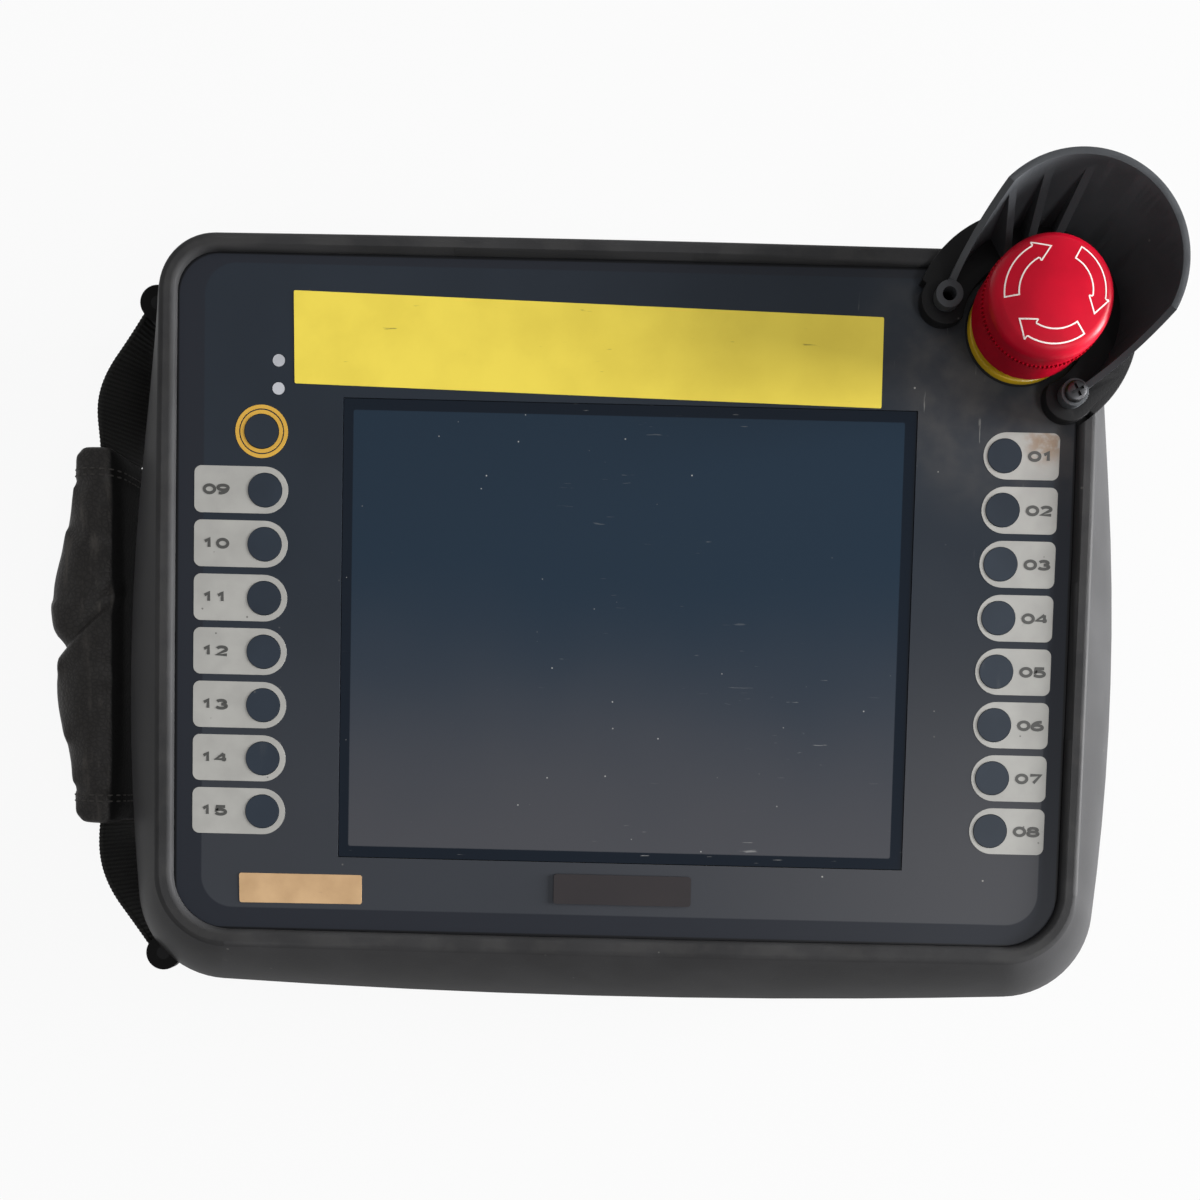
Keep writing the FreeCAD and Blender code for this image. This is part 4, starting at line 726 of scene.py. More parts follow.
def make_piece(name: str, shape: Shape, finish: Finish, body: str,
               smooth: bool = True) -> bpy.types.Object:
    """Turns a shape in millimetres into a piece that rides on a body.

    Args:
        name: The piece's name.
        shape: The shape, which is used up.
        finish: Its finish.
        body: The CAD body that carries it.
        smooth: Whether its faces shade smoothly up to sharp edges.

    Returns:
        The piece.
    """
    mesh = to_metres(shape, name)
    mesh.materials.append(finish.material())
    if smooth:
        mesh.shade_smooth()
        mesh.set_sharp_from_angle(angle=SMOOTH_ANGLE)
    piece = put(name, mesh)
    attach(piece, body)
    LOG.info("piece %s on %s: %d faces", name, body, len(mesh.polygons))
    return piece


def settle(piece: bpy.types.Object) -> None:
    """Applies a piece's modifiers to its mesh."""
    view = bpy.context.evaluated_depsgraph_get()
    mesh = bpy.data.meshes.new_from_object(piece.evaluated_get(view))
    old = piece.data
    piece.modifiers.clear()
    piece.data = mesh
    bpy.data.meshes.remove(old)


def carve(piece: bpy.types.Object, cutter: Shape) -> None:
    """Cuts a shape in millimetres out of a piece for good."""
    mesh = to_metres(cutter, "cutter")
    tool = put("cutter", mesh)
    modifier = piece.modifiers.new("carve", "BOOLEAN")
    modifier.operation = "DIFFERENCE"
    modifier.solver = "EXACT"
    modifier.use_self = True
    modifier.object = tool
    settle(piece)
    bpy.data.objects.remove(tool)
    bpy.data.meshes.remove(mesh)


def soften(name: str, node: str, width: float, finish: Finish) -> None:
    """Shows a copy of one of the housing's CAD nodes with its sharp edges rounded.

    Args:
        name: The new piece's name.
        node: The CAD node that it stands for.
        width: How far the rounding reaches on each side of an edge.
        finish: Its finish.
    """
    shape = bmesh.new()
    shape.from_mesh(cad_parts[node].data)
    bmesh.ops.scale(shape, vec=(1 / MM, 1 / MM, 1 / MM), verts=shape.verts)
    bmesh.ops.remove_doubles(shape, verts=shape.verts, dist=WELD)
    bmesh.ops.dissolve_limit(shape, angle_limit=FLAT_ANGLE, verts=shape.verts, edges=shape.edges)
    sharp = [edge for edge in shape.edges if edge.is_manifold and edge.calc_face_angle() > SHARP_ANGLE]
    bmesh.ops.bevel(shape, geom=sharp, offset=width, offset_type="OFFSET", segments=3, profile=0.5,
                    affect="EDGES", clamp_overlap=True, material=-1)
    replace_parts(make_piece(name, shape, finish, HOUSING), node)


def surface_of(mesh: bpy.types.Mesh) -> BVHTree:
    """A mesh's faces in millimetres, ready for rays."""
    return BVHTree.FromPolygons([vert.co / MM for vert in mesh.vertices],
                                [tuple(face.vertices) for face in mesh.polygons])


def drape(shape: Shape, node: str) -> None:
    """Lowers a flat shape, given about z 0 in millimetres, onto a CAD node seen from above."""
    tree = surface_of(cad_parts[node].data)
    sky = Vector((0, 0, 1000))
    for vert in shape.verts:
        hit = tree.ray_cast(Vector((vert.co.x, vert.co.y, 0)) + sky, Vector((0, 0, -1)))[0]
        if hit is not None:
            vert.co.z += hit.z


def verts_of(geometry: Geometry) -> list[bmesh.types.BMVert]:
    """The vertices among an operator's results."""
    return [item for item in geometry if isinstance(item, bmesh.types.BMVert)]


def edges_between(geometry: Geometry, verts: Sequence[bmesh.types.BMVert]) -> list[bmesh.types.BMEdge]:
    """The edges among an operator's results that have both ends in a list of vertices."""
    return [item for item in geometry if isinstance(item, bmesh.types.BMEdge)
            and all(vert in verts for vert in item.verts)]


def add_block(shape: Shape, size: Sequence[float], place: Sequence[float] = (0, 0, 0)) -> None:
    """Adds a block about a place to a shape."""
    made = bmesh.ops.create_cube(shape, size=1.0)["verts"]
    bmesh.ops.scale(shape, vec=size, verts=made)
    bmesh.ops.translate(shape, vec=place, verts=made)


def round_off(shape: Shape, corners: Sequence[bmesh.types.BMVert], radius: float, segments: int) -> None:
    """Rounds corners of a flat shape."""
    bmesh.ops.bevel(shape, geom=list(corners), offset=radius, offset_type="OFFSET", segments=segments,
                    profile=0.5, affect="VERTICES", material=-1)


def thicken(shape: Shape, thick: float) -> None:
    """Lifts a flat shape into a closed sheet, from its plane up by a thickness."""
    bmesh.ops.recalc_face_normals(shape, faces=shape.faces)
    if sum(face.normal.z * face.calc_area() for face in shape.faces) > 0:
        bmesh.ops.reverse_faces(shape, faces=shape.faces)
    top = bmesh.ops.extrude_face_region(shape, geom=shape.faces[:], use_keep_orig=True)
    bmesh.ops.translate(shape, vec=(0, 0, thick), verts=verts_of(top["geom"]))
    bmesh.ops.recalc_face_normals(shape, faces=shape.faces)


def plate(centre: Point, size: Point, radii: Point, segments: int) -> Shape:
    """A flat rounded plate on the plane of the panel's top.

    Args:
        centre: Its middle, x and y.
        size: Its length and height.
        radii: Corner radii at the left and the right.
        segments: Steps of each corner.

    Returns:
        The flat shape.
    """
    shape = bmesh.new()
    half_x, half_y = size[0] / 2, size[1] / 2
    corners = [shape.verts.new((centre[0] + sx * half_x, centre[1] + sy * half_y, 0.0))
               for sx, sy in ((-1, -1), (1, -1), (1, 1), (-1, 1))]
    shape.faces.new(corners)
    for radius, pair in zip(radii, ((corners[0], corners[3]), (corners[1], corners[2]))):
        round_off(shape, pair, radius, segments)
    return shape


def add_circle(shape: Shape, centre: Point, radius: float, segments: int) -> list[bmesh.types.BMVert]:
    """Adds a circle without a face to a flat shape."""
    return bmesh.ops.create_circle(shape, cap_ends=False, radius=radius, segments=segments,
                                   matrix=Matrix.Translation((*centre, 0.0)))["verts"]


def punch(shape: Shape, centre: Point, radius: float, segments: int = 48) -> None:
    """Opens a round hole in a flat plate that is one face."""
    rim = shape.edges[:]
    bmesh.ops.delete(shape, geom=shape.faces[:], context="FACES_ONLY")
    ring = add_circle(shape, centre, radius, segments)
    edges = {edge for vert in ring for edge in vert.link_edges}
    bmesh.ops.triangle_fill(shape, use_beauty=True, edges=rim + list(edges), normal=(0, 0, 1))
    inside = [face for face in shape.faces
              if (face.calc_center_median().xy - Vector(centre)).length < radius * WITHIN
              and all(vert in ring for vert in face.verts)]
    bmesh.ops.delete(shape, geom=inside, context="FACES_ONLY")


def ring_sheet(centre: Point, outer: float, inner: float, segments: int = 64) -> Shape:
    """A flat ring."""
    shape = bmesh.new()
    edges: list[bmesh.types.BMEdge] = []
    for radius in (outer, inner):
        ring = add_circle(shape, centre, radius, segments)
        edges += {edge for vert in ring for edge in vert.link_edges}
    bmesh.ops.bridge_loops(shape, edges=edges)
    return shape


def lift(shape: Shape, z: float) -> Shape:
    """Moves a shape up."""
    bmesh.ops.translate(shape, vec=(0, 0, z), verts=shape.verts)
    return shape


def join(parts: Iterable[Shape]) -> Shape:
    """Puts shapes together in one, and frees them."""
    whole = bmesh.new()
    for part in parts:
        mesh = bpy.data.meshes.new("joining")
        part.to_mesh(mesh)
        part.free()
        whole.from_mesh(mesh)
        bpy.data.meshes.remove(mesh)
    return whole


def turned(profile: Sequence[Point], x: float, y: float, steps: int = 64) -> Shape:
    """Spins a profile of radius and height about an upright axis into a closed solid."""
    shape = bmesh.new()
    verts = [shape.verts.new((x + radius, y, z)) for radius, z in profile]
    edges = [shape.edges.new(pair) for pair in zip(verts, verts[1:])]
    bmesh.ops.spin(shape, geom=verts + edges, cent=(x, y, 0), axis=(0, 0, 1), angle=FULL_TURN, steps=steps,
                   use_merge=True)
    bmesh.ops.remove_doubles(shape, verts=shape.verts, dist=TOUCH)
    bmesh.ops.recalc_face_normals(shape, faces=shape.faces)
    return shape


def turn_of(first: Vector, second: Vector) -> float:
    """Sign of the turn from one direction to another, seen from above."""
    return math.copysign(1.0, first.x * second.y - first.y * second.x)


def arc(middle: Point, reach: Point, start: float, stop: float) -> list[Point]:
    """Points of an elliptic arc between two angles in degrees."""
    steps = max(4, round(abs(stop - start) / ARC_STEP))
    angles = [math.radians(start + (stop - start) * step / steps) for step in range(steps + 1)]
    return [(middle[0] + reach[0] * math.cos(angle), middle[1] + reach[1] * math.sin(angle))
            for angle in angles]


# Strokes of the figures in a box that is one wide and one high
FIGURES: dict[str, list[list[Point]]] = {
    "0": [arc((0.5, 0.5), (0.5, 0.5), 0, 360)],
    "1": [[(0.1, 0.72), (0.5, 1.0), (0.5, 0.0)]],
    "2": [[*arc((0.5, 0.72), (0.46, 0.28), 165, -40), (0.02, 0.0), (1.0, 0.0)]],
    "3": [arc((0.48, 0.76), (0.42, 0.24), 160, -90), arc((0.48, 0.26), (0.5, 0.26), 90, -160)],
    "4": [[(0.76, 0.0), (0.76, 1.0)], [(0.76, 1.0), (0.0, 0.28), (1.0, 0.28)]],
    "5": [[(0.94, 1.0), (0.16, 1.0), (0.1, 0.52), *arc((0.48, 0.31), (0.5, 0.31), 140, -160)]],
    "6": [arc((0.5, 0.3), (0.5, 0.3), 0, 360), arc((0.78, 0.3), (0.78, 0.7), 180, 80)],
    "7": [[(0.02, 1.0), (1.0, 1.0), (0.34, 0.0)]],
    "8": [arc((0.5, 0.76), (0.42, 0.24), 0, 360), arc((0.5, 0.27), (0.5, 0.27), 0, 360)],
    "9": [arc((0.5, 0.7), (0.5, 0.3), 0, 360), arc((0.22, 0.7), (0.78, 0.7), 0, -100)],
}


def stroke(points: Sequence[Vector], thick: float) -> Shape:
    """A flat line of even thickness along points in the panel's plane."""
    shape = bmesh.new()
    ways = [(after - before).normalized() for before, after in zip(points, points[1:])]
    closed = (points[0] - points[-1]).length < TINY
    sides = []
    for index, point in enumerate(points):
        behind = ways[index - 1] if index > 0 or closed else ways[0]
        ahead = ways[index] if index < len(ways) else ways[0] if closed else ways[-1]
        mean = (behind + ahead).normalized()
        mitre = min(MITRE_LIMIT, 1 / max(mean.dot(ahead), TINY))
        out = Vector((-mean.y, mean.x, 0)) * (thick / 2 * mitre)
        sides.append((shape.verts.new(point + out), shape.verts.new(point - out)))
    for first, second in zip(sides, sides[1:]):
        shape.faces.new((*first, *reversed(second)))
    return shape


class Column(Enum):
    """The two columns of keys."""

    LEFT = "left"
    RIGHT = "right"


@dataclass
class FrontPanel:
    """The printed sheet with its key frames, figures, rings, labels and indicator lenses."""

    frame_height: float = 13.0
    frame_corner: float = 2.0
    frame_segments: int = 12
    end_clear: float = 0.01
    left_frame: Band = (-120.6, -94.3)
    right_frame: Band = (99.9, 121.1)
    figure_size: tuple[float, float] = (2.9, 2.2)
    figure_line: float = 0.85
    stroke_step: float = 0.01
    figure_gap: float = 0.9
    left_inset: float = 2.8
    right_inset: float = 2.1
    key_opening: float = 4.85
    ring_bands: tuple[Band, ...] = ((7.35, 6.3), (5.95, 4.9))
    label_thick: float = 0.12
    plate_thick: float = 0.5
    label_segments: int = 4
    yellow_corners: tuple[Point, ...] = ((-93.3, 93.2), (-92.8, 67.8), (70.9, 64.7), (70.8, 89.6))
    yellow_round: float = 0.4
    tan_corners: tuple[Point, ...] = ((-107.2, -69.4), (-107.0, -77.8), (-72.2, -77.6), (-72.3, -69.3))
    tan_round: float = 0.6
    plate_corners: tuple[Point, ...] = ((-17.6, -67.6), (-17.6, -76.1), (21.4, -76.1), (21.4, -67.6))
    plate_round: float = 0.8
    keys: list[str] = field(default_factory=lambda: [f"key_{number:02d}" for number in range(1, 16)])

    def key_place(self, name: str) -> Point:
        """Middle of a key's cap, from the frame."""
        low, high = box_of(name)
        return (low.x + high.x) / 2, (low.y + high.y) / 2

    def column(self, name: str) -> Column:
        """The column that a key stands in."""
        return Column.LEFT if self.key_place(name)[0] < 0 else Column.RIGHT

    def frames(self) -> None:
        """Prints a frame round each key, square at its figure and round at its cap."""
        parts = []
        for name in self.keys:
            x, y = self.key_place(name)
            left = self.column(name) is Column.LEFT
            low, high = self.left_frame if left else self.right_frame
            round_end = self.frame_height / 2 - self.end_clear
            radii = (self.frame_corner, round_end) if left else (round_end, self.frame_corner)
            sheet = plate(((low + high) / 2, y), (high - low, self.frame_height), radii, self.frame_segments)
            punch(sheet, (x, y), self.key_opening)
            thicken(sheet, INK_THICK)
            parts.append(lift(sheet, PANEL_TOP))
        make_piece("key_frames", join(parts), FRAME_INK, HOUSING, smooth=False)

    def figures(self) -> None:
        """Prints a plain number in each frame."""
        parts = []
        width, height = self.figure_size
        for number, name in enumerate(self.keys, start=1):
            x, y = self.key_place(name)
            left = self.column(name) is Column.LEFT
            start = self.left_frame[0] + self.left_inset if left else x + self.key_opening + self.right_inset
            for place, figure in enumerate(f"{number:02d}"):
                corner = Vector((start + place * (width + self.figure_gap), y - height / 2, 0))
                for layer, points in enumerate(FIGURES[figure]):
                    line = [corner + Vector((across * width, up * height, 0)) for across, up in points]
                    sheet = stroke(line, self.figure_line)
                    thicken(sheet, INK_THICK + layer * self.stroke_step)
                    parts.append(lift(sheet, PANEL_TOP + INK_THICK))
        make_piece("key_figures", join(parts), NUMERAL_INK, HOUSING, smooth=False)

    def rings(self) -> None:
        """Prints two rings round the key above the left column."""
        parts = []
        for outer, inner in self.ring_bands:
            sheet = ring_sheet(self.key_place("key_ringed"), outer, inner)
            thicken(sheet, INK_THICK)
            parts.append(lift(sheet, PANEL_TOP))
        make_piece("key_rings", join(parts), RING_INK, HOUSING, smooth=False)

    def label(self, name: str, corners: Sequence[Point], thick: float, finish: Finish, radius: float) -> None:
        """Sticks a bare label on the sheet.

        Args:
            name: The piece's name.
            corners: Its four corners, in order round it.
            thick: Its thickness.
            finish: Its finish.
            radius: Radius of its corners.
        """
        shape = bmesh.new()
        verts = [shape.verts.new((x, y, 0.0)) for x, y in corners]
        shape.faces.new(verts)
        round_off(shape, verts, radius, self.label_segments)
        thicken(shape, thick)
        make_piece(name, lift(shape, PANEL_TOP), finish, HOUSING, smooth=False)

    def build(self) -> None:
        """Dresses the sheet and adds all that is printed or stuck on it."""
        dress(SHEET, "overlay_sheet")
        dress(KEY_CAP, *self.keys, "key_ringed")
        dress(LENS, "indicator_lenses")
        self.frames()
        self.figures()
        self.rings()
        self.label("yellow_sticker", self.yellow_corners, self.label_thick, YELLOW_LABEL, self.yellow_round)
        self.label("tan_sticker", self.tan_corners, self.label_thick, TAN_LABEL, self.tan_round)
        self.label("bare_plate", self.plate_corners, self.plate_thick, DARK_PLATE, self.plate_round)


@dataclass
class StopButton:
    """Mushroom head with arrows and a grip band, its collar and what holds it below the deck."""

    inner: float = 9.3
    outer: float = 13.2
    sweep: float = 70.0
    sweep_steps: int = 14
    starts: tuple[float, ...] = (188.0, 62.0, -52.0)
    tip_length: float = 4.2
    tip_lean: float = 0.5
    barb_flare: float = 1.5
    barb_back: float = 0.02
    line: float = 0.37
    longest_edge: float = 0.9
    teeth: int = 90
    tooth: tuple[float, float, float] = (1.0, 0.46, 1.5)
    tooth_proud: float = 0.4
    tooth_rise: float = 9.65
    collar_radius: float = 15.2
    collar_bore: float = 12.0
    collar_round: float = 0.5
    collar_bulge: float = 0.3
    spring_wire: float = 0.7
    spring_turns: int = 5
    spring_steps: int = 24
    spring_sides: int = 10
    spring_floor: float = 33.0
    push: float = 4.2

    def centre(self) -> Vector:
        """Middle of the head, in millimetres."""
        low, high = box_of("estop_head")
        return (low + high) / 2

    def arrow(self, start: float) -> Shape:
        """One outlined arrow that runs clockwise round the head's top from an angle."""
        shape = bmesh.new()
        turn = math.radians(start)
        ends = [shape.verts.new((radius * math.cos(turn), radius * math.sin(turn), 0))
                for radius in (self.inner, self.outer)]
        edge = shape.edges.new(ends)
        spun = bmesh.ops.spin(shape, geom=ends + [edge], cent=(0, 0, 0), axis=(0, 0, 1),
                              angle=-math.radians(self.sweep), steps=self.sweep_steps)["geom_last"]
        stop = math.radians(start - self.sweep)
        middle = (self.inner + self.outer) / 2
        heart = Vector((middle * math.cos(stop), middle * math.sin(stop), 0))
        onward = Vector((math.sin(stop), -math.cos(stop), 0))
        barbs = bmesh.ops.extrude_edge_only(shape, edges=edges_between(spun, verts_of(spun)))["geom"]
        verts = verts_of(barbs)
        for vert in verts:
            vert.co = heart + (vert.co - heart) * self.barb_flare - onward * self.barb_back
        tip = bmesh.ops.extrude_edge_only(shape, edges=edges_between(barbs, verts))["geom"]
        point = heart + onward * self.tip_length - heart.normalized() * self.tip_lean
        bmesh.ops.pointmerge(shape, verts=verts_of(tip), merge_co=point)
        bmesh.ops.recalc_face_normals(shape, faces=shape.faces)
        kept = set(shape.faces)
        bmesh.ops.inset_region(shape, faces=shape.faces[:], thickness=self.line, use_boundary=True,
                               use_even_offset=True)
        bmesh.ops.delete(shape, geom=[face for face in shape.faces if face in kept], context="FACES")
        return shape

    def arrows(self) -> None:
        """Prints the arrows on the domed top."""
        centre = self.centre()
        shape = join(self.arrow(start) for start in self.starts)
        long = [edge for edge in shape.edges if edge.calc_length() > self.longest_edge]
        bmesh.ops.subdivide_edges(shape, edges=long, cuts=2, use_grid_fill=True)
        bmesh.ops.translate(shape, vec=(centre.x, centre.y, 0), verts=shape.verts)
        thicken(shape, INK_THICK)
        drape(shape, "estop_head")
        make_piece("head_arrows", shape, ARROW_INK, "stop_head", smooth=False)

    def grip(self) -> None:
        """Fine teeth in the band round the head."""
        centre = self.centre()
        low, high = box_of("estop_head")
        radius = (high.x - low.x) / 2 - self.tooth[0] / 2 + self.tooth_proud
        shape = bmesh.new()
        add_block(shape, self.tooth, (centre.x + radius, centre.y, low.z + self.tooth_rise))
        bmesh.ops.spin(shape, geom=shape.verts[:] + shape.edges[:] + shape.faces[:],
                       cent=(centre.x, centre.y, 0), axis=(0, 0, 1), angle=FULL_TURN * (1 - 1 / self.teeth),
                       steps=self.teeth - 1, use_duplicate=True)
        make_piece("head_grip", shape, RED, "stop_head", smooth=False)

    def collar(self) -> None:
        """The yellow collar with a rounded rim, drawn in under the head."""
        low, high = box_of("estop_collar")
        rim, inset = self.collar_radius, self.collar_round
        bulge = self.collar_bulge * inset
        profile = [(self.collar_bore, low.z), (rim, low.z), (rim, high.z - inset),
                   (rim - bulge, high.z - bulge), (rim - inset, high.z),
                   (self.collar_bore, high.z), (self.collar_bore, low.z)]
        centre = self.centre()
        shape = turned(profile, centre.x, centre.y)
        piece = make_piece("collar_ring", shape, YELLOW, HOUSING)
        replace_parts(piece, "estop_collar")

    def spring(self) -> None:
        """A round-wire spring under the stem."""
        low, high = box_of("estop_spring")
        x, y, _ = (low + high) / 2
        steps = self.spring_steps * self.spring_turns
        rise = (high.z - low.z - 2 * self.spring_wire) / steps
        start = Matrix.Translation((high.x - self.spring_wire, y, low.z + self.spring_wire))
        shape = bmesh.new()
        bmesh.ops.create_circle(shape, cap_ends=False, radius=self.spring_wire, segments=self.spring_sides,
                                matrix=start @ Matrix.Rotation(math.pi / 2, 4, "X"))
        bmesh.ops.spin(shape, geom=shape.verts[:] + shape.edges[:], cent=(x, y, 0), axis=(0, 0, 1),
                       dvec=(0, 0, rise), angle=FULL_TURN * self.spring_turns, steps=steps)
        bmesh.ops.holes_fill(shape, edges=shape.edges[:], sides=0)
        bmesh.ops.recalc_face_normals(shape, faces=shape.faces)
        piece = make_piece("coil_spring", shape, STEEL, HOUSING)
        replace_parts(piece, "estop_spring")
        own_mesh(piece)

    def build(self) -> None:
        """Dresses the button and adds its spring, its collar and what is printed and cut on its head."""
        dress(RED, "estop_head")
        dress(BLACK, "estop_stem", "estop_bushing", "estop_contact_block")
        dress(RUBBER, "estop_seal")
        dress(ALLOY, "estop_nut")
        self.spring()
        self.collar()
        self.arrows()
        self.grip()


@dataclass
class Guard:
    """Hood and base round the stop button, and the cross-head screw in the lower ear."""

    rim_round: float = 0.45
    base_round: float = 0.6
    shank_radius: float = 1.45
    head_radius: float = 2.9
    head_height: float = 1.9
    crown: tuple[Point, ...] = ((0.0, 0.9), (0.35, 0.35), (1.1, 0.06))
    slot_length: float = 3.6
    slot_width: float = 0.75
    slot_depth: float = 0.9
    slot_turn: float = math.radians(28)

    def screw(self) -> None:
        """A pan-head screw with a cross recess in place of the plain one."""
        low, high = box_of("guard_screw")
        x, y, top = (low.x + high.x) / 2, (low.y + high.y) / 2, high.z
        seat = top - self.head_height
        crown = [(self.head_radius - inward, top - down) for inward, down in self.crown]
        profile = [(0.0, low.z), (self.shank_radius, low.z), (self.shank_radius, seat),
                   (self.head_radius, seat), *crown, (0.0, top)]
        piece = make_piece("guard_cross_screw", turned(profile, x, y), SCREW, HOUSING)
        cross = bmesh.new()
        for slot in ((self.slot_length, self.slot_width), (self.slot_width, self.slot_length)):
            add_block(cross, (*slot, 2 * self.slot_depth))
        turn = Matrix.Rotation(self.slot_turn, 3, "Z")
        bmesh.ops.rotate(cross, cent=(0, 0, 0), matrix=turn, verts=cross.verts)
        bmesh.ops.translate(cross, vec=(x, y, top), verts=cross.verts)
        carve(piece, cross)
        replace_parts(piece, "guard_screw")

    def build(self) -> None:
        """Rounds the guard and adds its screw."""
        soften("rounded_hood", "guard_hood", self.rim_round, HOOD)
        soften("rounded_base", "guard_base", self.base_round, BLACK)
        self.screw()


class Ribbon:
    """A band drawn out from a cross-section, step by step."""

    def __init__(self, section: Sequence[Vector], pitch: float) -> None:
        """Starts the band at a closed section.

        Args:
            section: Points round the section.
            pitch: Length of a step.
        """
        self.pitch = pitch
        self.shape = bmesh.new()
        verts = [self.shape.verts.new(point) for point in section]
        self.edges = [self.shape.edges.new(pair) for pair in zip(verts, verts[1:] + verts[:1])]
        self.shape.faces.new(verts)
        self.rows = [verts]

    def advance(self, move: Matrix, steps: int) -> None:
        """Draws the section on by the same move a number of times."""
        for _ in range(steps):
            made = bmesh.ops.extrude_edge_only(self.shape, edges=self.edges)["geom"]
            verts = verts_of(made)
            self.edges = edges_between(made, verts)
            bmesh.ops.transform(self.shape, matrix=move, verts=verts)
            self.rows.append(verts)

    def run(self, way: Vector) -> None:
        """Draws a straight stretch."""
        steps = max(1, round(way.length / self.pitch))
        self.advance(Matrix.Translation(way / steps), steps)

    def bend(self, centre: Vector, angle: float, radius: float) -> None:
        """Draws a bend about an upright axis."""
        steps = max(3, round(abs(angle) * radius / self.pitch))
        turn = Matrix.Rotation(angle / steps, 4, "Z")
        self.advance(Matrix.Translation(centre) @ turn @ Matrix.Translation(-centre), steps)

    def rib(self, share: float) -> None:
        """Thins every second row, then closes the far end."""
        for row in self.rows[1::2]:
            middle = sum((vert.co for vert in row), Vector()) / len(row)
            for vert in row:
                vert.co.xy = middle.xy + (vert.co.xy - middle.xy) * share
        bmesh.ops.holes_fill(self.shape, edges=self.edges, sides=0)
        bmesh.ops.recalc_face_normals(self.shape, faces=self.shape.faces)


@dataclass(frozen=True)
class Swell:
    """A soft bulge of the pad beside its crease: how far along, how long, how far out and how high."""

    along: float
    length: float
    out: float
    rise: float

    def at(self, line: float) -> float:
        """Share of the bulge at a distance from the crease."""
        return math.exp(-((line - self.along) / self.length) ** 2)


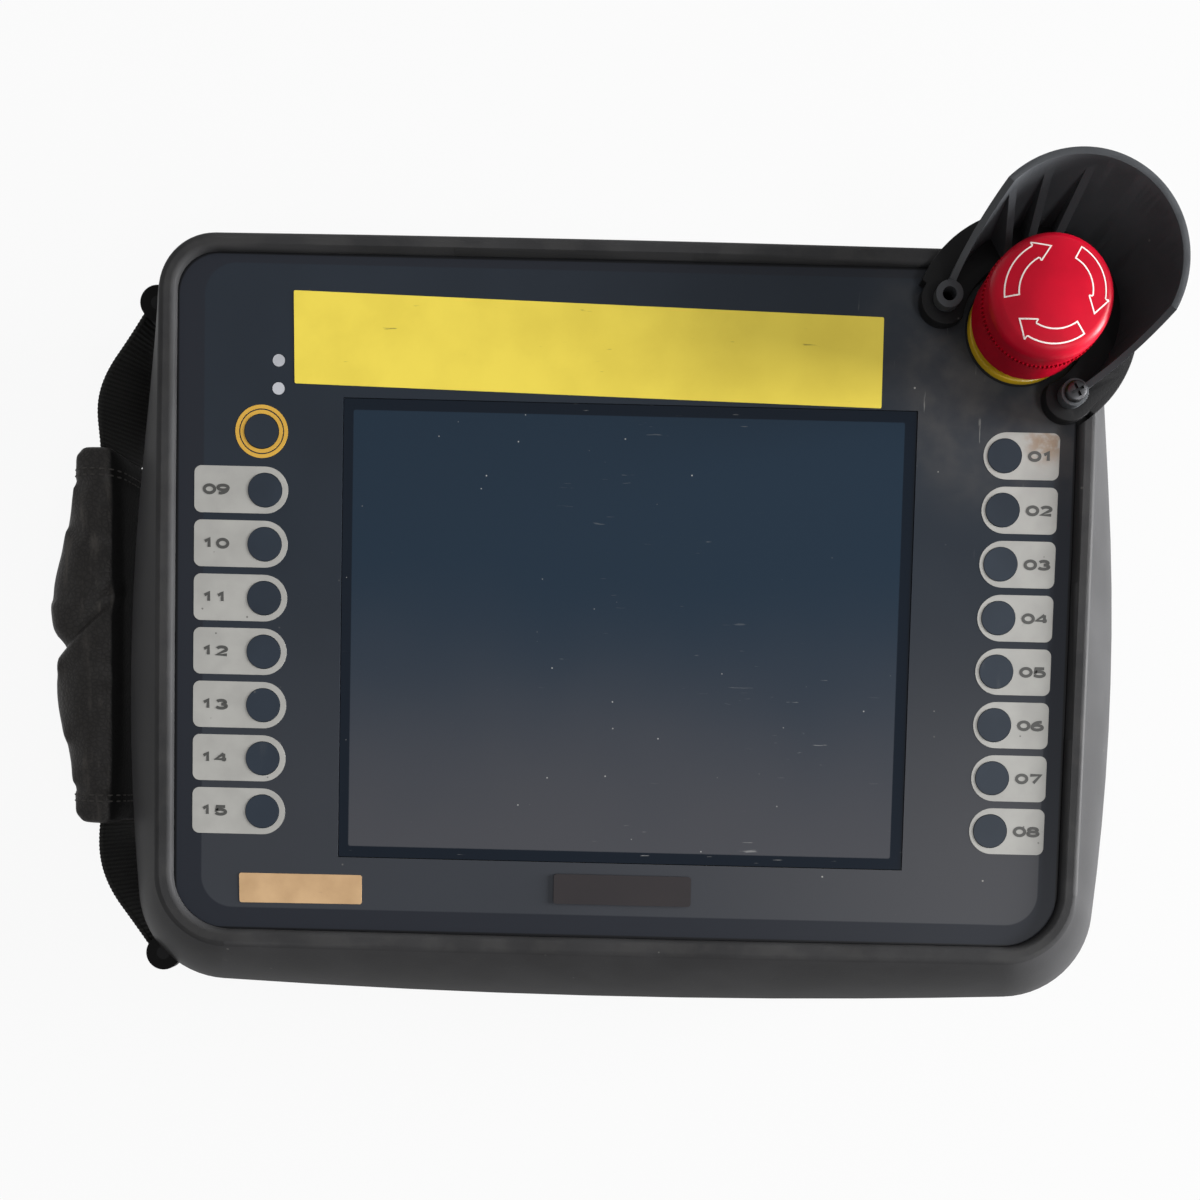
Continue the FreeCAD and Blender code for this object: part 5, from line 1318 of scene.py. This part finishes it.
@dataclass
class HandStrap:
    """Leather pad, the webbing through it and the bars that the webbing loops round."""

    thick: float = 1.8
    width: float = 20.0
    corner: float = 0.6
    corner_segments: int = 3
    run_x: float = -157.4
    bends: Band = (74.0, -72.5)
    bend_radius: float = 40.0
    bar_radius: float = 2.0
    loop_radius: float = 3.1
    wrap: float = math.radians(300)
    pitch: float = 0.6
    rib_share: float = 0.8
    leans: tuple[Point, ...] = ((72.0, 13.0), (-72.0, 8.0))
    lean_reach: float = 14.0
    lean_hinge: float = 0.15
    pad_end: float = -162.8
    pad_inset: float = 0.6
    pad_cuts: int = 15
    voxel: float = 2.2
    sim_scale: float = 6.0
    sim_mass: float = 0.02
    pressure: float = 5.0
    slack: float = -0.05
    cap: float = 1.6
    cloth_frames: int = 20
    crease_y: float = -4.0
    crease_slant: float = 17.0
    crease_width: float = 3.2
    crease_in: float = 2.6
    crease_down: float = 2.8
    swells: tuple[Swell, ...] = (Swell(15.0, 12.0, 2.4, 0.8), Swell(-16.0, 14.0, 1.4, 0.5))
    hem: float = 8.0
    hem_edge: float = 0.6
    hem_rise: float = 0.7
    hem_sink: float = 0.35
    stitch_rows: Band = (5.6, 7.4)
    stitches_round: int = 36
    stitch_size: tuple[float, float, float] = (0.95, 0.3, 0.28)
    stitch_ray: float = 60.0

    def bars(self) -> list[Vector]:
        """Middles of the upper and the lower bar, half way up the webbing."""
        low, high = box_of("strap_bars")
        web_low, web_high = box_of("strap_webbing")
        z = (web_low.z + web_high.z) / 2
        return [Vector((low.x + self.bar_radius, high.y - self.bar_radius, z)),
                Vector((high.x - self.bar_radius, low.y + self.bar_radius, z))]

    def webbing(self) -> None:
        """Winds the ribbed webbing round the upper bar, down through the pad and round the lower bar."""
        bars = self.bars()
        corners = [Vector((self.run_x, y, bars[0].z)) for y in self.bends]
        leave = []
        for bar, corner, side in zip(bars, corners, (1, -1)):
            along = corner - bar
            tilt = side * math.asin(self.loop_radius / along.length)
            angle = math.atan2(along.y, along.x) - side * math.pi / 2 + tilt
            leave.append(Vector((math.cos(angle), math.sin(angle), 0)))
        points = [bars[0] + leave[0] * self.loop_radius, *corners, bars[1] + leave[1] * self.loop_radius]
        spin = turn_of(leave[0], points[1] - points[0])
        start = Matrix.Rotation(-spin * self.wrap, 3, "Z") @ leave[0]
        flat = plate((0, 0), (self.thick, self.width), (self.corner, self.corner), self.corner_segments)
        flat.faces.ensure_lookup_table()
        section = [bars[0] + start * (self.loop_radius + vert.co.x) + Vector((0, 0, vert.co.y))
                   for vert in flat.faces[0].verts]
        flat.free()
        band = Ribbon(section, self.pitch)
        band.bend(bars[0], spin * self.wrap, self.loop_radius)
        here = points[0]
        for before, corner, after in zip(points, points[1:], points[2:]):
            back, ahead = (before - corner).normalized(), (after - corner).normalized()
            half = back.angle(ahead) / 2
            trim = self.bend_radius / math.tan(half)
            heart = corner + (back + ahead).normalized() * (self.bend_radius / math.sin(half))
            band.run(corner + back * trim - here)
            band.bend(heart, turn_of(-back, ahead) * (math.pi - 2 * half), self.bend_radius)
            here = corner + ahead * trim
        band.run(points[-1] - here)
        spin = turn_of(leave[1], points[-1] - points[-2])
        band.bend(bars[1], spin * self.wrap, self.loop_radius)
        band.rib(self.rib_share)
        for vert in band.shape.verts:
            drop = 0.5 - (vert.co.z - bars[0].z) / self.width
            lean = sum(most * math.exp(-((vert.co.y - y) / self.lean_reach) ** 2) for y, most in self.leans)
            vert.co.x += lean * (drop - self.lean_hinge)
        piece = make_piece("ribbed_webbing", band.shape, WEBBING, HOUSING)
        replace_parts(piece, "strap_webbing")

    def pad_blank(self) -> Shape:
        """A bowed block a little smaller than the pad."""
        low, high = box_of("strap_pad")
        margin = Vector((self.pad_inset, self.pad_inset, self.pad_inset))
        low, high = low + margin, high - margin
        shape = bmesh.new()
        add_block(shape, high - low, (low + high) / 2)
        bmesh.ops.subdivide_edges(shape, edges=shape.edges[:], cuts=self.pad_cuts, use_grid_fill=True)
        middle, half = (low.y + high.y) / 2, (high.y - low.y) / 2
        for vert in shape.verts:
            share = (high.x - vert.co.x) / (high.x - low.x)
            bow = 1 - ((vert.co.y - middle) / half) ** 2
            outer = self.pad_end + self.pad_inset + (low.x - self.pad_end - self.pad_inset) * bow
            vert.co.x = high.x + share * (outer - high.x)
        return shape

    def stuff(self, piece: bpy.types.Object) -> None:
        """Swells the pad with simulated stuffing, then gives it one subdivision."""
        remesh = piece.modifiers.new("even", "REMESH")
        remesh.mode = "VOXEL"
        remesh.voxel_size = self.voxel * MM
        settle(piece)
        before = [vert.co.copy() for vert in piece.data.vertices]
        piece.data.transform(Matrix.Scale(self.sim_scale, 4))
        cloth = piece.modifiers.new("stuffing", "CLOTH")
        cloth.settings.mass = self.sim_mass
        cloth.settings.use_pressure = True
        cloth.settings.uniform_pressure_force = self.pressure
        cloth.settings.shrink_min = self.slack
        cloth.settings.effector_weights.gravity = 0
        for number in range(1, self.cloth_frames + 1):
            bpy.context.scene.frame_set(number)
        settle(piece)
        bpy.context.scene.frame_set(1)
        piece.data.transform(Matrix.Scale(1 / self.sim_scale, 4))
        moves = [vert.co - origin for vert, origin in zip(piece.data.vertices, before)]
        LOG.info("stuffing moves the pad by up to %.2f mm", max(move.length for move in moves) / MM)
        for vert, origin, move in zip(piece.data.vertices, before, moves):
            vert.co = origin + move * min(1.0, self.cap * MM / max(move.length, TINY * MM))
        smooth = piece.modifiers.new("smooth", "SUBSURF")
        smooth.levels = 1
        smooth.render_levels = 1
        settle(piece)

    def crease(self, piece: bpy.types.Object) -> None:
        """Folds the pad across its middle and thickens the hems at its ends."""
        low, high = box_of("strap_pad")
        for vert in piece.data.vertices:
            spot = vert.co / MM
            out = (high.x - spot.x) / (high.x - low.x)
            up = min(1.0, max(0.0, (spot.z - low.z) / (high.z - low.z))) ** 3
            line = spot.y - (self.crease_y + self.crease_slant * (1 - out))
            fold = math.exp(-(line / self.crease_width) ** 2)
            spot.x += self.crease_in * fold * out
            spot.z -= self.crease_down * fold * up
            spot.x -= sum(swell.out * swell.at(line) for swell in self.swells) * out
            spot.z += sum(swell.rise * swell.at(line) for swell in self.swells) * up
            end = min(high.y - spot.y, spot.y - low.y)
            ridge = 0.5 * (1 - math.tanh((end - self.hem) / self.hem_edge))
            spot += vert.normal * (self.hem_rise * ridge - self.hem_sink)
            vert.co = spot * MM

    def stitches(self, pad: bpy.types.Object) -> None:
        """Two rows of stitches across each hem."""
        low, high = box_of("strap_pad")
        tree = surface_of(pad.data)
        shape = bmesh.new()
        middle = Vector(((low.x + high.x) / 2, 0, (low.z + high.z) / 2))
        size = Matrix.Diagonal((*self.stitch_size, 1.0))
        rows = [end + sign * step for end, sign in ((low.y, 1), (high.y, -1)) for step in self.stitch_rows]
        for row in rows:
            for number in range(self.stitches_round):
                angle = FULL_TURN * number / self.stitches_round
                way = Vector((math.cos(angle), 0, math.sin(angle)))
                far = Vector((middle.x, row, middle.z)) + way * self.stitch_ray
                spot, normal, _, _ = tree.ray_cast(far, -way)
                if spot is None:
                    continue
                along = normal.cross(Vector((0, 1, 0))).normalized()
                axes = Matrix((along, along.cross(normal), normal)).transposed().to_4x4()
                bmesh.ops.create_icosphere(shape, subdivisions=1, radius=1.0,
                                           matrix=Matrix.Translation(spot) @ axes @ size)
        make_piece("pad_stitches", shape, THREAD, HOUSING)

    def pad(self) -> None:
        """Makes the stuffed pad with its crease, hems and stitches."""
        piece = make_piece("stuffed_pad", self.pad_blank(), PAD, HOUSING)
        self.stuff(piece)
        self.crease(piece)
        piece.data.shade_smooth()
        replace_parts(piece, "strap_pad")
        self.stitches(piece)

    def build(self) -> None:
        """Makes the webbing and the pad and dresses the bars."""
        dress(BLACK, "strap_bars")
        self.webbing()
        self.pad()


@dataclass
class Housing:
    """The two shells and all that they hold."""

    def build(self) -> None:
        """Dresses the shells, the screen and the pieces inside."""
        dress(SHELL, "front_case", "rear_case")
        dress(GLASS, "touch_glass", "lcd_glass")
        dress(RUBBER, "case_seal", "touch_foam")
        dress(SCREW, "case_screws", "chassis_screws", "board_screws", "key_board_screws")
        dress(ALLOY, "chassis_plate", "board_standoffs", "lcd_frame", "backup_battery")
        dress(BOARD, "main_board", "inverter_board", "key_board_left", "key_board_right")
        dress(BLACK, "board_chips", "buzzer", "board_connectors", "tact_switches", "cable_gland", "gland_nut")
        dress(WHITE, "backlight", "indicator_leds")


@dataclass(frozen=True)
class Lamp:
    """A soft square lamp: its name, its place and side in metres, and its power in watts."""

    name: str
    place: tuple[float, float, float]
    side: float
    power: float

    def build(self) -> None:
        """Hangs the lamp so that it points at the terminal."""
        data = bpy.data.lights.new(self.name, "AREA")
        data.size = self.side
        data.energy = self.power
        spot = Vector(self.place)
        aim = (-spot).to_track_quat("-Z", "Y").to_matrix().to_4x4()
        put(self.name, data).matrix_world = Matrix.Translation(spot) @ aim


@dataclass
class Studio:
    """Floor, light and the camera at the photograph's place."""

    place: tuple[float, float, float] = (0.232, -39.931, 375.941)
    turn: tuple[float, float, float] = (2.7366, -0.0549, -1.3642)
    focal_pixels: float = 1149.19
    image_pixels: float = 1200.0
    axis_right: float = 17.31
    axis_down: float = 232.86
    sensor: float = 36.0
    near_clip: float = 0.01
    floor_reach: float = 4000.0
    floor_z: float = -0.1
    paper: float = 0.45
    paper_rough: float = 0.9
    glow_share: float = 0.92
    sky_base: float = 0.12
    sky_crown: float = 0.6
    horizon: Band = (0.5, 0.75)
    lamps: tuple[Lamp, ...] = (Lamp("right_lamp", (2.0, 0.15, 0.25), side=0.9, power=200.0),
                               Lamp("front_lamp", (0.9, -0.6, 1.7), side=0.5, power=10.0))

    def camera(self) -> None:
        """Sets the camera up from the fitted place, turn and focal length."""
        data = bpy.data.cameras.new("photo_camera")
        data.sensor_width = self.sensor
        data.lens = self.focal_pixels / self.image_pixels * self.sensor
        data.shift_x = -self.axis_right / self.image_pixels
        data.shift_y = self.axis_down / self.image_pixels
        data.clip_start = self.near_clip
        camera = put("photo_camera", data)
        turn = Vector([math.radians(part) for part in self.turn])
        view = Matrix.Rotation(turn.length, 3, turn.normalized())
        camera.matrix_world = Matrix.Translation(Vector(self.place) * MM) @ view.transposed().to_4x4()
        bpy.context.scene.camera = camera

    def floor(self) -> None:
        """A pale floor under the terminal that still takes its shadow."""
        shape = bmesh.new()
        bmesh.ops.create_grid(shape, x_segments=1, y_segments=1, size=self.floor_reach)
        mesh = to_metres(lift(shape, self.floor_z), "floor")
        paint = Paint("floor_paper")
        paper = paint.done(base_color=(self.paper, self.paper, self.paper), roughness=self.paper_rough)
        glow = paint.node("Emission", None, {"Color": WHITE_LIGHT, "Strength": 1.0})
        both = paint.node("MixShader", None, {0: paint.seen() * self.glow_share, 1: paint.surface.outputs[0],
                                              2: glow.outputs[0]})
        paint.feed(paint.output.inputs["Surface"], both.outputs[0])
        mesh.materials.append(paper)
        put("floor", mesh)

    def sky(self) -> None:
        """Soft light that grows towards the crown, with a horizon that camera, metal and glass see white."""
        world = bpy.data.worlds.new("studio_sky")
        bpy.context.scene.world = world
        world.use_nodes = True
        nodes = Nodes(world.node_tree)
        way = nodes.node("SeparateXYZ", None, {0: nodes.node("TexCoord").outputs["Generated"]})
        up = Wire(nodes, way.outputs["Z"]).most(0.0)
        light = up * up * self.sky_crown + self.sky_base
        white = nodes.seen() * up.step(self.horizon[1], self.horizon[0])
        back = nodes.node("Background", None, {"Color": WHITE_LIGHT,
                                               "Strength": light + white * (1.0 - light)})
        nodes.node("OutputWorld", None, {"Surface": back.outputs[0]})

    def build(self) -> None:
        """Lights the scene and sets the camera."""
        bpy.context.scene.view_settings.view_transform = "Standard"
        self.camera()
        self.floor()
        self.sky()
        for lamp in self.lamps:
            lamp.build()


def main() -> None:
    """Builds the studio and the sub-assemblies in order."""
    logging.basicConfig(level=logging.INFO, format="%(name)s: %(message)s")
    Studio().build()
    for assembly in (Housing(), FrontPanel(), StopButton(), Guard(), HandStrap()):
        LOG.info("building %s", type(assembly).__name__)
        assembly.build()
    bpy.context.view_layer.update()


if __name__ == "__main__":
    main()
